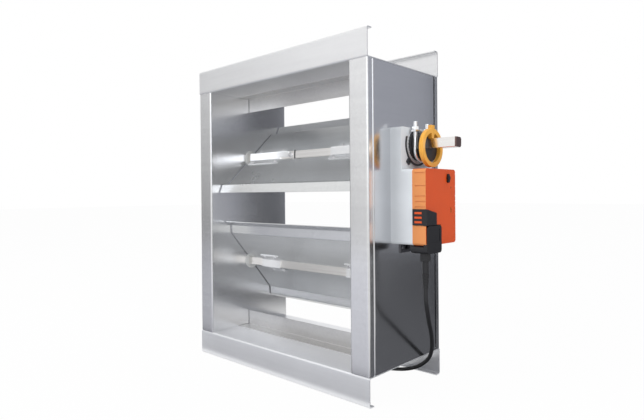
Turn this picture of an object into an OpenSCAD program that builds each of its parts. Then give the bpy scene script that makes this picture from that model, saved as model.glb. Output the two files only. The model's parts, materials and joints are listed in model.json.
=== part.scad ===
// Motorised two-blade duct damper: folded sheet-steel casing, opposed blades, side linkage
// channel with its cover, and a direct-coupled rotary actuator with its lead. Millimetres.
// +X is the drive side, +Y runs along the duct away from the viewer, +Z is up.

/* [Casing] */
// Clear width of the air passage
duct_w = 350; // [300:5:600]
// Clear height of the air passage
duct_h = 470; // [440:5:620]
// Depth of the casing along the duct
depth = 200; // [190:5:260]
// Thickness of the galvanised frame sheet
frame_t = 1.5; // [1:0.1:2]
// Bend radius of the frame sheet, at its middle line
frame_bend = 2.2; // [1.8:0.1:3]
// Height of the flanges on the top and bottom rails
rail_flange = 45; // [40:1:60]
// Width of the flanges on the two jambs
jamb_flange = 36; // [34:1:50]
// Width of the return lip along every flange
lip_w = 11; // [8:0.5:14]

/* [Blades] */
// Thickness of the blade sheet
blade_t = 1.2; // [1:0.1:1.5]
// Bend radius of the blade sheet, at its middle line
blade_bend = 1.6; // [1.3:0.1:2.5]
// Height left between a closed blade's edge and the casing, mean of top and bottom
edge_room = 21; // [16:1:26]
// Lap of the two blades over each other when closed
blade_lap = 2; // [1:0.5:3]
// Height by which the pair of axes sits above the passage's centre
axis_raise = 4; // [0:1:5]
// Gap between a blade's end and the jamb
end_gap = 3; // [2:0.5:6]
// Height of the folded ridge along each blade edge
ridge_h = 9.5; // [6:0.5:12]
// Length of the outer slope of that ridge, along the blade
ridge_outer = 15.5; // [12:0.5:18]
// Length of the inner slope of that ridge, along the blade
ridge_inner = 13; // [10:0.5:16]
// Height at which the ridge's free edge ends
ridge_end_h = 2.5; // [2.2:0.1:4]
// Slope of the upper blade above the horizontal, as shown
upper_slope = 43; // [38:1:48]
// Slope of the lower blade above the horizontal, as shown
lower_slope = 50; // [46:1:54]

/* [Stops] */
// Height of the blade stops' upright leg
stop_h = 29; // [24:1:32]
// Width of the blade stops' base
stop_base = 26; // [20:1:34]
// Distance of the top stop's closing face in front of the blade axes
top_stop_back = 2; // [1.5:0.5:6]
// Distance of the bottom stop's closing face in front of the blade axes
bottom_stop_back = 7; // [6.5:0.5:10]

/* [Shafts] */
// Side of the square shafts
shaft_a = 15; // [12:0.5:15.5]
// Distance from the casing's side to the end of the drive shaft
drive_reach = 92; // [88:1:120]
// Length of shaft left outside the far jamb
shaft_tail = 12; // [9:1:20]
// Outside diameter of the blade bushes where they turn in the jamb
bush_d = 26; // [24.5:0.5:27]
// Diameter of the bush flange
bush_flange_d = 31; // [29:0.5:34]
// Thickness of the bush flange
bush_flange_t = 2; // [1.5:0.1:2.5]
// Thickness of the straps that hold the shafts to the blades
strap_t = 1.8; // [1.5:0.1:2.5]
// Length of a strap
strap_len = 52; // [40:1:60]
// Length of the longer strap on the drive end of the upper blade
drive_strap_len = 86; // [70:1:100]
// Length of the strap on the far end of the upper blade
far_strap_len = 90; // [60:1:100]
// Distance from the far end of the upper blade to that strap
far_strap_inset = 8; // [5:1:30]
// Distance from the far end of the lower blade to its strap
far_lower_inset = 43; // [20:1:50]
// Distance from the drive end of a blade to its strap
strap_inset = 28; // [20:1:40]
// Width of a strap's foot
strap_foot = 11; // [9:0.5:14]
// Diameter of the strap rivets
rivet_d = 4; // [3:0.2:4.8]

/* [Linkage] */
// Throw of the upper crank
crank_r = 31; // [30.5:0.5:32.5]
// Thickness of the cranks
crank_t = 4; // [3:0.5:5]
// Diameter of the crank hubs
crank_hub_d = 28; // [26:0.5:30]
// Diameter of the tie rod
rod_d = 6; // [5:0.5:6.5]
// Thickness of the tie rod's flat ends
rod_end_t = 5; // [4:0.5:6]
// Diameter of the crank pins
pin_d = 6; // [5:0.5:7]

/* [Cover] */
// Thickness of the linkage cover
cover_t = 1.2; // [1:0.1:1.5]
// Gap between the cover and the jamb's lips
cover_gap = 2; // [1:0.25:3]
// Diameter of the shaft hole in the cover
cover_hole_d = 46; // [44:1:50]

/* [Actuator] */
// Width of the actuator
act_w = 88; // [80:1:100]
// Length of the actuator
act_h = 179; // [170:1:200]
// Height of the actuator above the drive axis
act_top = 26; // [25:0.5:30]
// Depth of the grey base
base_d = 39; // [36:1:44]
// Depth of the base at its clamp end
clamp_d = 20; // [20:0.5:22]
// Depth of the coloured housing over the base
hood_d = 23; // [20:1:28]
// Wall of the two housings
wall = 2; // [1.6:0.1:2.4]
// Corner radius of the housings
case_r = 5; // [3:0.5:8]
// Travel of the release button
button_travel = 2.5; // [1.5:0.5:3]

/* [Gears] */
// Module of the gear teeth
tooth_size = 1; // [0.95:0.01:1.05]
// Width of each gear layer
gear_w = 4; // [3.5:0.1:4.2]
// Diameter of the gear axles
axle_d = 3; // [2.5:0.1:3.5]
// Diameter of the motor
motor_d = 30; // [24:1:34]

/* [Clamp] */
// Diameter of the clamp bolt's bar
ubolt_d = 6; // [5:0.5:6.5]
// Half the distance between the clamp bolt's legs
ubolt_r = 17; // [16:0.5:18]
// Outside diameter of the position ring
ring_d = 60; // [56:1:62]
// Width of the position ring's band
ring_w = 7.5; // [6:0.5:9]
// Depth of the position ring along the shaft
ring_depth = 7; // [5:0.5:8]
// Distance of the ring's centre below the drive axis
ring_drop = 6; // [4:0.5:6.5]
// Distance from the casing's side to the back of the position ring
ring_reach = 42; // [40:1:46]
// Room left between the position ring's swing and the coloured housing
ring_room = 3; // [2:0.5:5]

/* [Cable] */
// Diameter of the lead
cable_d = 6.2; // [6:0.1:6.4]
// Diameter of each insulated core at the free end
core_d = 2; // [1.6:0.1:2]

/* [Hidden] */

round_fn = 48;
small_fn = 24;
bend_steps = 4;
fit_gap = 0.1;
run_gap = 0.05;
free_gap = 0.3;
overrun = 1;

zinc = [0.78, 0.79, 0.80];
bright_zinc = [0.88, 0.89, 0.90];
steel = [0.70, 0.71, 0.73];
nylon = [0.93, 0.93, 0.91];
light_grey = [0.86, 0.87, 0.88];
orange = [0.86, 0.36, 0.18];
amber = [0.94, 0.64, 0.20];
black = [0.08, 0.08, 0.09];
board_green = [0.10, 0.38, 0.20];
brass = [0.78, 0.63, 0.30];
copper = [0.80, 0.50, 0.32];

// Casing, measured from its own centre line in X
casing_w = duct_w + 2 * jamb_flange;
casing_x = -drive_reach / 2;
half_w = duct_w / 2;
half_d = depth / 2;
floor_z = rail_flange;
ceiling_z = rail_flange + duct_h;
overall_h = duct_h + 2 * rail_flange;
web_out = half_w + frame_t;
side_x = casing_w / 2;
frame_mid = frame_t / 2;

// Blades
pitch = (duct_h - 2 * edge_room) / 2 - blade_lap / 2;
blade_reach = (pitch + blade_lap) / 2;
mid_z = floor_z + duct_h / 2 + axis_raise;
upper_z = mid_z + pitch / 2;
lower_z = mid_z - pitch / 2;
upper_turn = upper_slope - 90;
lower_turn = 90 - lower_slope;
gear_share = (90 - lower_slope) / (90 - upper_slope);
blade_end = half_w - end_gap;
seat_depth = (shaft_a / 2 + blade_t / 2) * sqrt(2);
seat_turn = 45;
strap_peak = (shaft_a / 2 + fit_gap + strap_t / 2) * sqrt(2);
strap_y = -(blade_t + strap_t) / 2;
strap_start = strap_peak + strap_y;
strap_edge = strap_start + strap_foot;
rivet_s = strap_start + strap_foot * 0.55;
rivet_head_d = rivet_d * 1.9;
rivet_head_t = rivet_d * 0.35;
rivet_inset = strap_foot;

// Linkage, in layers outward from the jamb's web
bush_out = 4;
crank_x = web_out + bush_out + free_gap;
crank_hub_t = 5;
arm_x = crank_x + crank_hub_t;
lower_crank_r = crank_r / gear_share;
link_gap = 1.2;
rod_x = arm_x + crank_t + link_gap + rod_end_t / 2;
pin_end_x = rod_x + rod_end_t / 2 + link_gap;
pin_head_d = pin_d * 1.6;
pin_head_t = 1.6;
rod_dy = -(crank_r + lower_crank_r);
rod_lean = atan2(-rod_dy, pitch);
eye_wall = 5;
eye_d = pin_d + 2 * eye_wall;
closing = 90 - upper_slope;
slot_run = crank_r * (1 - cos(closing)) + lower_crank_r * (1 - cos(closing * gear_share));
slot_play = 1.1;
slot_wall = 5;
crank_arm_w = 14;
clip_t = 1;
clip_d = 26;
neck_x = -blade_end + far_strap_inset + far_strap_len;
neck_len = 22;
neck_share = 0.3;
neck_gap = 6;
bar_screw_x = neck_x + neck_len + neck_gap;
bar_screw_d = 10;
bar_screw_h = 3;
bar_screw_gap = 10;
bar_clip_x = bar_screw_x + bar_screw_gap;
bar_clip_w = 1.8;
bar_clip_t = 0.8;

// Cover
cover_half = half_d - lip_w - cover_gap;
cover_foot = lip_w - 1;
cover_bend = 1.6;
screw_d = 4;
screw_head_d = 8;
screw_head_t = 2.4;
cover_screw_z_share = [0.12, 0.88];

// Actuator, with distances counted outward from the cover's face
act_x = side_x;
act_half = act_w / 2;
act_top_z = upper_z + act_top;
act_bottom_z = act_top_z - act_h;
hood_top_z = upper_z - ring_d / 2 - ring_drop - ring_room;
hood_h = hood_top_z - act_bottom_z;
base_x = act_x + base_d;
hood_x = base_x + hood_d;
clamp_x = act_x + clamp_d;
hub_d = 26;
hub_bore_d = shaft_a * sqrt(2) + 2 * fit_gap;
hub_room_d = 42;
layer_gap = 0.6;
layer_1 = act_x + wall + layer_gap;
layer_2 = layer_1 + gear_w + layer_gap;
layer_3 = layer_2 + gear_w + layer_gap;
plate_x = layer_3 + gear_w + layer_gap;
plate_t = 1.2;
output_teeth = 44;
pinion_teeth = 12;
first_teeth = 28;
second_teeth = 32;
motor_teeth = 12;
first_z = upper_z - tooth_size * (output_teeth + pinion_teeth) / 2;
second_z = first_z - tooth_size * (first_teeth + pinion_teeth) / 2;
motor_z = second_z - tooth_size * (second_teeth + motor_teeth) / 2;
tooth_tip_share = 0.11;
tooth_root_share = 0.29;
addendum_share = 0.85;
dedendum_share = 1.2;
motor_len = 24;
motor_shaft_d = 2.3;
hub_disc_d = 50;
hub_disc_t = 3;
hub_teeth = 30;
hub_tooth_h = 1.2;

// Clamp
bridge_t = 9;
bolt_x = clamp_x + free_gap + hub_disc_t + bridge_t / 2;
ubolt_drop = 8;
ubolt_leg = 34;
bridge_low = shaft_a / 2 + fit_gap;
bridge_top = 21;
bridge_w = 2 * ubolt_r + 2 * ubolt_d;
bridge_sheet = 3;
nut_af = 10;
nut_t = 5;
clamp_turn = upper_turn + seat_turn;
carrier_t = 3;
carrier_d = 50;
ring_x = act_x + ring_reach;
carrier_x = ring_x - carrier_t;
ring_tab_w = 9;
ring_tab_h = 5;
pointer_w = 12;

// Release button and its place on the front corner of the coloured housing
button_low = 30;
button_z = act_bottom_z + button_low;
button_h = 24;
button_in = 27;
button_side = 22;
button_skin = 2;
button_rim = 1;
button_gap = 0.35;
button_proud = 1.6;
button_taper = 6;
bar_h = 3;
bar_len = 12;
bar_t = 0.6;
bar_z_share = [0.2, 0.48, 0.76];
side_groove_w = 1;
side_groove_h = 1.4;
groove_start = 5;
groove_z_share = [0.064, 0.232, 0.365, 0.435, 0.505];

// Direction knob, lens, aux slot, hood screws on the outer face
knob_y = 20;
knob_z = hood_top_z - 14;
knob_d = 12;
knob_t = 3.4;
knob_pin_d = 4;
lens_d = 3;
lens_y = 30;
lens_z = hood_top_z - 28;
aux_y = 30;
aux_z = hood_top_z - 67;
aux_w = 3;
aux_h = 8;
hood_screw_inset = 9;

// Connector at the lower front corner
plug_y0 = -42.5;
plug_w = 41;
plug_x0 = base_x - 4;
plug_in = 5;
plug_proud = 1.5;
plug_drop = 12;
plug_h = 41;
plug_r = 5;
plug_gap = 0.3;
plug_recess = 0.6;
plug_recess_share = 0.45;
gland_x = act_x + 51;
gland_y = -28;
gland_d = 16;
gland_h = 12;
sleeve_d = 9;
sleeve_h = 19;
relief_h = 22.5;
relief_rings = 5;
relief_d = 10.4;
relief_neck_share = 0.8;
relief_tip_share = 0.78;

// Torque bracket under the actuator
bracket_w = 40;
bracket_t = 2;
bracket_low = 16;
bracket_lap = 12;
bracket_screw_y = 14;
bracket_screw_z = act_bottom_z - bracket_low / 2;
torque_slot_w = 6.4;
torque_pin_d = 6;

// The lead hangs from the strain relief, turns under the side of the casing and lies in the
// bottom rail. The points are in the finished frame.
route = [[216, -28, 172], [216, -28, 162], [215.5, -26, 150], [213, -18, 134], [209, -7, 116],
    [203, 8, 99], [195, 24, 81], [186, 39, 63], [176, 51, 47], [164, 59, 33], [149, 63, 21],
    [131, 64, 11.5], [110, 62, 5.5], [88, 56, 3.6], [66, 50, 3.2], [44, 46, 3.2], [22, 43, 3.2],
    [0, 42, 3.2], [-22, 42, 3.2], [-40, 42, 3.2], [-58, 42, 3.2]];
coil_centre = [-66, 6];
coil_r = 36;
coil_pitch = 7;
coil_rise = 6.9;
coil_floor = 3.2;
coil_turns = 3;
coil_run = 8;
coil_sides = 6;
loop_rings = 24;
cable_sides = 8;
core_len = 34;
core_rings = 6;

function unit(v) = v / norm(v);
function left_of(v) = [-unit(v)[1], unit(v)[0]];
function reversed(list) = [for (i = [len(list) - 1 : -1 : 0]) list[i]];

// Points of one bend of a folded sheet, on the face that lies s to the left of its middle line
function bend(a, b, c, r, s) =
    let(u = unit(b - a), v = unit(c - b), w = sign(cross(u, v)), sweep = acos(u * v),
        start = b - u * r * tan(sweep / 2), centre = start + w * r * left_of(u),
        from = atan2(start[1] - centre[1], start[0] - centre[0]))
    [for (i = [0 : bend_steps])
        let(at = from + w * sweep * i / bend_steps)
        centre + (r - w * s) * [cos(at), sin(at)]];

function sheet_face(p, s, r) =
    let(last = len(p) - 1)
    concat([p[0] + s * left_of(p[1] - p[0])],
        [for (i = [1 : last - 1]) each bend(p[i - 1], p[i], p[i + 1], r, s)],
        [p[last] + s * left_of(p[last] - p[last - 1])]);

// Section of a folded sheet of thickness t along the middle line p
module sheet(p, t, r)
    polygon(concat(sheet_face(p, t / 2, r), reversed(sheet_face(p, -t / 2, r))));

module set_out() translate([casing_x, 0, 0]) children();

module along_x(from, to)
    translate([from, 0, 0]) rotate([90, 0, 90]) linear_extrude(to - from) children();

module along_y(from, to)
    translate([0, to, 0]) rotate([90, 0, 0]) linear_extrude(to - from) children();

module rod_x_dir(from, to, d, y, z, fn = round_fn)
    translate([from, y, z]) rotate([0, 90, 0]) cylinder(h = to - from, d = d, $fn = fn);

module at_upper(turn = 0) translate([0, 0, upper_z]) rotate([turn, 0, 0]) children();
module at_lower(turn = 0) translate([0, 0, lower_z]) rotate([turn, 0, 0]) children();

// Rails: channels with flanges turned outward and lips turned back in
function rail_line(web, tip) =
    let(y = half_d - frame_mid, lip_y = half_d - lip_w)
    [[-lip_y, tip], [-y, tip], [-y, web], [y, web], [y, tip], [lip_y, tip]];

module rail(web, tip)
    along_x(-side_x, side_x) sheet(rail_line(web, tip), frame_t, frame_bend);

module top_rail() color(zinc) set_out() rail(ceiling_z + frame_mid, overall_h - frame_mid);

module bottom_rail() color(zinc) set_out() rail(floor_z - frame_mid, frame_mid);

// Jambs: the same section upright between the rails, with a hole for each blade bush
function jamb_line() =
    let(x = side_x - frame_mid, y = half_d - frame_mid, lip_y = half_d - lip_w,
        web = half_w + frame_mid)
    [[x, -lip_y], [x, -y], [web, -y], [web, y], [x, y], [x, lip_y]];

module jamb()
    difference() {
        translate([0, 0, floor_z]) linear_extrude(duct_h)
            sheet(jamb_line(), frame_t, frame_bend);
        for (z = [upper_z, lower_z])
            rod_x_dir(half_w - overrun, web_out + overrun, bush_d + 2 * run_gap, 0, z);
    }

module left_jamb() color(zinc) set_out() mirror([1, 0, 0]) jamb();

module right_jamb()
    color(zinc) set_out() difference() {
        jamb();
        for (s = [-1, 1], share = cover_screw_z_share)
            rod_x_dir(half_w - overrun, web_out + overrun, screw_d,
                s * (cover_half + cover_foot * 0.55), floor_z + duct_h * share, small_fn);
    }

// Stops: angles on the top and bottom webs that the closed blades meet
function stop_line(web, side, back) =
    let(y = -back - blade_t / 2, z = web + side * blade_t / 2)
    [[y - stop_base, z], [y, z], [y, web + side * stop_h]];

module stop(web, side, back)
    along_x(-half_w + end_gap / 2, half_w - end_gap / 2)
        sheet(stop_line(web, side, back), blade_t, blade_bend);

module top_stop() color(zinc) set_out() stop(ceiling_z, -1, top_stop_back);
module bottom_stop() color(zinc) set_out() stop(floor_z, 1, bottom_stop_back);

// Linkage cover: a pan between the lips, its feet on the jamb's web
function cover_line() =
    let(x = side_x - cover_t / 2, foot_x = web_out + cover_t / 2, y = cover_half - cover_t / 2)
    [[foot_x, -y - cover_foot], [foot_x, -y], [x, -y], [x, y], [foot_x, y],
        [foot_x, y + cover_foot]];

module linkage_cover()
    color(bright_zinc) set_out() difference() {
        translate([0, 0, floor_z + free_gap]) linear_extrude(duct_h - 2 * free_gap)
            sheet(cover_line(), cover_t, cover_bend);
        rod_x_dir(side_x - cover_t - overrun, side_x + overrun, cover_hole_d, 0, upper_z);
        for (y = [-1, 1])
            rod_x_dir(side_x - cover_t - overrun, side_x + overrun, screw_d,
                y * bracket_screw_y, bracket_screw_z, small_fn);
        for (s = [-1, 1], share = cover_screw_z_share)
            rod_x_dir(web_out - overrun, web_out + cover_t + overrun, screw_d + 2 * fit_gap,
                s * (cover_half + cover_foot * 0.55), floor_z + duct_h * share, small_fn);
    }

module pan_screw(x, y, z, grip)
    translate([x, y, z]) rotate([0, 90, 0]) {
        cylinder(h = screw_head_t, d1 = screw_head_d, d2 = screw_head_d * 0.7, $fn = small_fn);
        translate([0, 0, -grip]) cylinder(h = grip, d = screw_d - 2 * fit_gap, $fn = small_fn);
    }

module cover_screws()
    color(steel) set_out() for (s = [-1, 1], share = cover_screw_z_share)
        pan_screw(web_out + cover_t, s * (cover_half + cover_foot * 0.55),
            floor_z + duct_h * share, frame_t + cover_t);

// Blade, drawn closed: a folded ridge along both edges and a seat for the shaft in the middle
function blade_half() =
    [[seat_depth, 0], [blade_reach - ridge_outer - ridge_inner, 0],
        [blade_reach - ridge_outer, ridge_h], [blade_reach, ridge_end_h]];

function blade_line() =
    let(half = blade_half())
    concat([for (p = reversed(half)) [-p[1], -p[0]]], [[seat_depth, 0]],
        [for (p = half) [p[1], p[0]]]);

module rivet_places(starts)
    for (start = starts, s = [-1, 1], x = [start[0] + rivet_inset, start[0] + start[1] - rivet_inset])
        translate([x, 0, s * rivet_s]) children();

module blade(starts)
    difference() {
        along_x(-blade_end, blade_end) sheet(blade_line(), blade_t, blade_bend);
        rivet_places(starts) rotate([90, 0, 0])
            cylinder(h = 2 * seat_depth, d = rivet_d + 2 * fit_gap, center = true, $fn = small_fn);
    }

// Straps: hat sections over the shaft, feet riveted to the blade
module straps(starts)
    difference() {
        for (start = starts) along_x(start[0], start[0] + start[1])
            sheet([[strap_y, -strap_edge], [strap_y, -strap_start], [-strap_peak, 0],
                [strap_y, strap_start], [strap_y, strap_edge]], strap_t, blade_bend);
        rivet_places(starts) rotate([90, 0, 0])
            cylinder(h = 2 * seat_depth, d = rivet_d + 2 * fit_gap, center = true, $fn = small_fn);
    }

module rivets(starts)
    rivet_places(starts) rotate([90, 0, 0]) {
        grip = blade_t + strap_t;
        translate([0, 0, -blade_t / 2]) cylinder(h = grip, d = rivet_d, $fn = small_fn);
        translate([0, 0, -blade_t / 2 + grip])
            cylinder(h = rivet_head_t, d1 = rivet_head_d, d2 = rivet_head_d * 0.6, $fn = small_fn);
        translate([0, 0, -blade_t / 2 - rivet_head_t])
            cylinder(h = rivet_head_t, d1 = rivet_head_d * 0.7, d2 = rivet_head_d, $fn = small_fn);
    }

upper_starts = [[-blade_end + far_strap_inset, far_strap_len],
    [blade_end - strap_inset - drive_strap_len, drive_strap_len]];
lower_starts = [[-blade_end + far_lower_inset, strap_len],
    [blade_end - strap_inset - strap_len, strap_len]];

module upper_blade() color(zinc) set_out() at_upper(upper_turn) blade(upper_starts);
module lower_blade() color(zinc) set_out() at_lower(lower_turn) blade(lower_starts);
module upper_straps()
    color(bright_zinc) set_out() at_upper(upper_turn) {
        straps(upper_starts);
        along_x(neck_x - overrun, neck_x + neck_len)
            sheet([[-strap_peak * neck_share, -strap_peak * (1 - neck_share)], [-strap_peak, 0],
                [-strap_peak * neck_share, strap_peak * (1 - neck_share)]], strap_t, blade_bend);
    }
module lower_straps() color(bright_zinc) set_out() at_lower(lower_turn) straps(lower_starts);
module upper_rivets() color(steel) set_out() at_upper(upper_turn) rivets(upper_starts);
module lower_rivets() color(steel) set_out() at_lower(lower_turn) rivets(lower_starts);

// Square shafts with chamfered ends, corner into the blade's seat
chamfer = 1.5;
edge_chamfer = 0.7;
function turned_by(v, a) = [v[0] * cos(a) - v[1] * sin(a), v[0] * sin(a) + v[1] * cos(a)];
module square_bar(from, to)
    rotate([seat_turn, 0, 0]) intersection() {
        along_x(from, to) polygon([for (k = [0 : 3], flat = [-1, 1])
            turned_by([shaft_a / 2, flat * (shaft_a / 2 - edge_chamfer)], k * 90)]);
        union() {
            rod_x_dir(from + chamfer, to - chamfer, shaft_a * 2, 0, 0);
            for (end = [[from, from + chamfer], [to, to - chamfer]])
                translate([min(end), 0, 0]) rotate([0, 90, 0])
                    cylinder(h = chamfer,
                        d1 = (end[0] < end[1]) ? shaft_a * 1.18 : shaft_a * 1.42,
                        d2 = (end[0] < end[1]) ? shaft_a * 1.42 : shaft_a * 1.18,
                        $fn = round_fn);
        }
    }

module upper_shaft()
    color(steel) set_out() at_upper(upper_turn)
        square_bar(-web_out - shaft_tail, side_x + drive_reach);

module lower_shaft()
    color(steel) set_out() at_lower(lower_turn)
        square_bar(-web_out - shaft_tail, arm_x + crank_t + free_gap);

// Set screw and spring clip on the two front faces of the upper shaft
module bar_screw()
    color(steel) set_out() at_upper(upper_turn) rotate([seat_turn, 0, 0])
        translate([bar_screw_x, -shaft_a / 2, 0]) rotate([90, 0, 0]) {
            cylinder(h = bar_screw_h * 0.6, d = bar_screw_d, $fn = small_fn);
            translate([0, 0, bar_screw_h * 0.6])
                cylinder(h = bar_screw_h * 0.4, d1 = bar_screw_d, d2 = bar_screw_d * 0.7,
                    $fn = small_fn);
        }

module bar_clip()
    color(black) set_out() at_upper(upper_turn) rotate([seat_turn, 0, 0])
        along_x(bar_clip_x, bar_clip_x + bar_clip_w)
            polygon([[-shaft_a / 2, -shaft_a / 2 + edge_chamfer],
                [-shaft_a / 2 - bar_clip_t, -shaft_a / 2 + edge_chamfer],
                [-shaft_a / 2 - bar_clip_t, shaft_a / 2 + bar_clip_t],
                [shaft_a / 2 - edge_chamfer, shaft_a / 2 + bar_clip_t],
                [shaft_a / 2 - edge_chamfer, shaft_a / 2],
                [-shaft_a / 2, shaft_a / 2]]);

module square_hole(from, to, gap)
    rotate([seat_turn, 0, 0]) along_x(from, to) square(shaft_a + 2 * gap, center = true);

// Bushes: flange inside the passage, body turning in the jamb's hole
module bush()
    difference() {
        union() {
            rod_x_dir(half_w - bush_flange_t, half_w, bush_flange_d, 0, 0);
            rod_x_dir(half_w, web_out + bush_out, bush_d, 0, 0);
        }
        square_hole(half_w - bush_flange_t - overrun, web_out + bush_out + overrun, fit_gap);
    }

module bush_pair() {
    bush();
    mirror([1, 0, 0]) bush();
}

module upper_bushes() color(nylon) set_out() at_upper(upper_turn) bush_pair();
module lower_bushes() color(nylon) set_out() at_lower(lower_turn) bush_pair();

// Spring clips on the shafts' far ends, against the bushes
module shaft_clip()
    difference() {
        rod_x_dir(-web_out - bush_out - clip_t, -web_out - bush_out, clip_d, 0, 0);
        square_hole(-web_out - bush_out - clip_t - overrun, -web_out - bush_out + overrun,
            fit_gap);
    }

module upper_shaft_clip() color(steel) set_out() at_upper(upper_turn) shaft_clip();
module lower_shaft_clip() color(steel) set_out() at_lower(lower_turn) shaft_clip();

// Cranks: hub on the square shaft, arm to a headed pin; level in the pose shown
module crank(throw, turn)
    difference() {
        union() {
            rod_x_dir(crank_x, arm_x + crank_t, crank_hub_d, 0, 0);
            along_x(arm_x, arm_x + crank_t) {
                translate([throw > 0 ? 0 : throw, -crank_arm_w / 2])
                    square([abs(throw), crank_arm_w]);
                translate([throw, 0]) circle(d = crank_arm_w, $fn = round_fn);
            }
            rod_x_dir(arm_x, pin_end_x, pin_d, throw, 0);
            rod_x_dir(pin_end_x, pin_end_x + pin_head_t, pin_head_d, throw, 0);
        }
        rotate([turn, 0, 0]) square_hole(crank_x - overrun, arm_x + crank_t + overrun, fit_gap);
    }

module upper_crank() color(steel) set_out() at_upper() crank(crank_r, upper_turn);
module lower_crank() color(steel) set_out() at_lower() crank(-lower_crank_r, lower_turn);

// Tie rod between the crank pins: an eye above, a level slot below
module tie_rod()
    color(bright_zinc) set_out() difference() {
        union() {
            translate([rod_x, crank_r, upper_z]) rotate([180 - rod_lean, 0, 0])
                translate([0, 0, eye_d / 2 - slot_wall / 2])
                    cylinder(h = norm([rod_dy, pitch]) - eye_d / 2 - slot_wall, d = rod_d,
                        $fn = small_fn);
            rod_x_dir(rod_x - rod_end_t / 2, rod_x + rod_end_t / 2, eye_d, crank_r, upper_z);
            along_x(rod_x - rod_end_t / 2, rod_x + rod_end_t / 2)
                for (dy = [0, slot_run]) translate([-lower_crank_r + dy, lower_z])
                    circle(d = pin_d + 2 * (slot_play + slot_wall), $fn = round_fn);
            along_x(rod_x - rod_end_t / 2, rod_x + rod_end_t / 2)
                translate([-lower_crank_r, lower_z - pin_d / 2 - slot_play - slot_wall])
                    square([slot_run, pin_d + 2 * (slot_play + slot_wall)]);
        }
        rod_x_dir(rod_x - rod_end_t / 2 - overrun, rod_x + rod_end_t / 2 + overrun,
            pin_d + 2 * run_gap, crank_r, upper_z);
        for (dy = [0, slot_run])
            rod_x_dir(rod_x - rod_end_t / 2 - overrun, rod_x + rod_end_t / 2 + overrun,
                pin_d + 2 * slot_play, -lower_crank_r + dy, lower_z);
        along_x(rod_x - rod_end_t / 2 - overrun, rod_x + rod_end_t / 2 + overrun)
            translate([-lower_crank_r, lower_z - pin_d / 2 - slot_play])
                square([slot_run, pin_d + 2 * slot_play]);
    }

// Rounded-rectangle outline by its corners, in circles and bars so that it stays exact
module round_rect(a, b, r) {
    translate([a[0] + r, a[1]]) square([b[0] - a[0] - 2 * r, b[1] - a[1]]);
    translate([a[0], a[1] + r]) square([b[0] - a[0], b[1] - a[1] - 2 * r]);
    for (x = [a[0] + r, b[0] - r], y = [a[1] + r, b[1] - r])
        translate([x, y]) circle(r = r, $fn = small_fn);
}

// Actuator base: deep under the hood, shallow under the clamp, open towards the hood
module base_outline(inset)
    round_rect([-act_half + inset, act_bottom_z + inset],
        [act_half - inset, act_top_z - inset], case_r - inset / 2);

module hood_outline(inset)
    round_rect([-act_half + inset, act_bottom_z + inset],
        [act_half - inset, hood_top_z - inset], case_r - inset / 2);

module actuator_base()
    color(light_grey) set_out() difference() {
        union() {
            along_x(act_x, clamp_x) base_outline(0);
            along_x(clamp_x - overrun, base_x) hood_outline(0);
        }
        along_x(act_x + wall, clamp_x - wall) base_outline(wall);
        along_x(clamp_x - wall - overrun, base_x + overrun) hood_outline(wall);
        rod_x_dir(act_x - overrun, clamp_x + overrun, hub_room_d, 0, upper_z);
        along_y(-overrun / 2 - torque_pin_d, overrun / 2 + torque_pin_d)
            translate([act_x + bracket_t + wall, act_bottom_z - overrun])
                square([torque_slot_w, wall + overrun * 2]);
    }

// Coloured housing with grooves in its front side, a corner cut for the button and the plug
module actuator_hood()
    color(orange) set_out() difference() {
        along_x(base_x, hood_x) hood_outline(0);
        along_x(base_x - overrun, hood_x - wall) hood_outline(wall);
        for (side = [-1, 1], share = groove_z_share)
            translate([base_x + groove_start,
                side > 0 ? act_half - side_groove_w : -act_half - overrun,
                hood_top_z - hood_h * share])
                cube([hood_d, overrun + side_groove_w, side_groove_h]);
        along_x(hood_x - button_rim - button_travel - button_gap, hood_x + overrun)
            polygon(button_face(button_gap));
        translate([hood_x - plug_in - plug_gap, plug_y0 - plug_gap, act_bottom_z - overrun])
            cube([plug_in + plug_gap + overrun, plug_w + 2 * plug_gap,
                button_low + overrun]);
        rod_x_dir(hood_x - wall - overrun, hood_x + overrun, knob_pin_d + 2 * run_gap, knob_y,
            knob_z, small_fn);
        rod_x_dir(hood_x - wall - overrun, hood_x + overrun, lens_d + 2 * fit_gap, lens_y, lens_z,
            small_fn);
        translate([hood_x - wall - overrun, aux_y - aux_w / 2, aux_z])
            cube([wall + 2 * overrun, aux_w, aux_h]);
    }

module hood_screws()
    color(steel) set_out()
        for (z = [hood_top_z - hood_screw_inset, act_bottom_z + hood_screw_inset])
            rod_x_dir(act_x + wall, hood_x - wall, screw_d - 2 * fit_gap,
                act_half - hood_screw_inset, z, small_fn);

// Gear train between the base's back and the gear plate
function gear_outline(teeth, phase) =
    let(step = 360 / teeth, pitch_r = tooth_size * teeth / 2,
        tip = pitch_r + addendum_share * tooth_size, root = pitch_r - dedendum_share * tooth_size)
    [for (i = [0 : teeth - 1])
        let(at = phase + i * step)
        each [for (corner = [[root, -tooth_root_share], [tip, -tooth_tip_share],
            [tip, tooth_tip_share], [root, tooth_root_share]])
            corner[0] * [cos(at + corner[1] * step), sin(at + corner[1] * step)]]];

module gear(from, teeth, phase, z, bore)
    along_x(from, from + gear_w) translate([0, z]) difference() {
        polygon(gear_outline(teeth, phase));
        circle(d = bore, $fn = small_fn);
    }

up = 90;
down = -90;

module output_gear()
    color(nylon) set_out() gear(layer_1, output_teeth, down, upper_z, hub_d + 2 * fit_gap);

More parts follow.
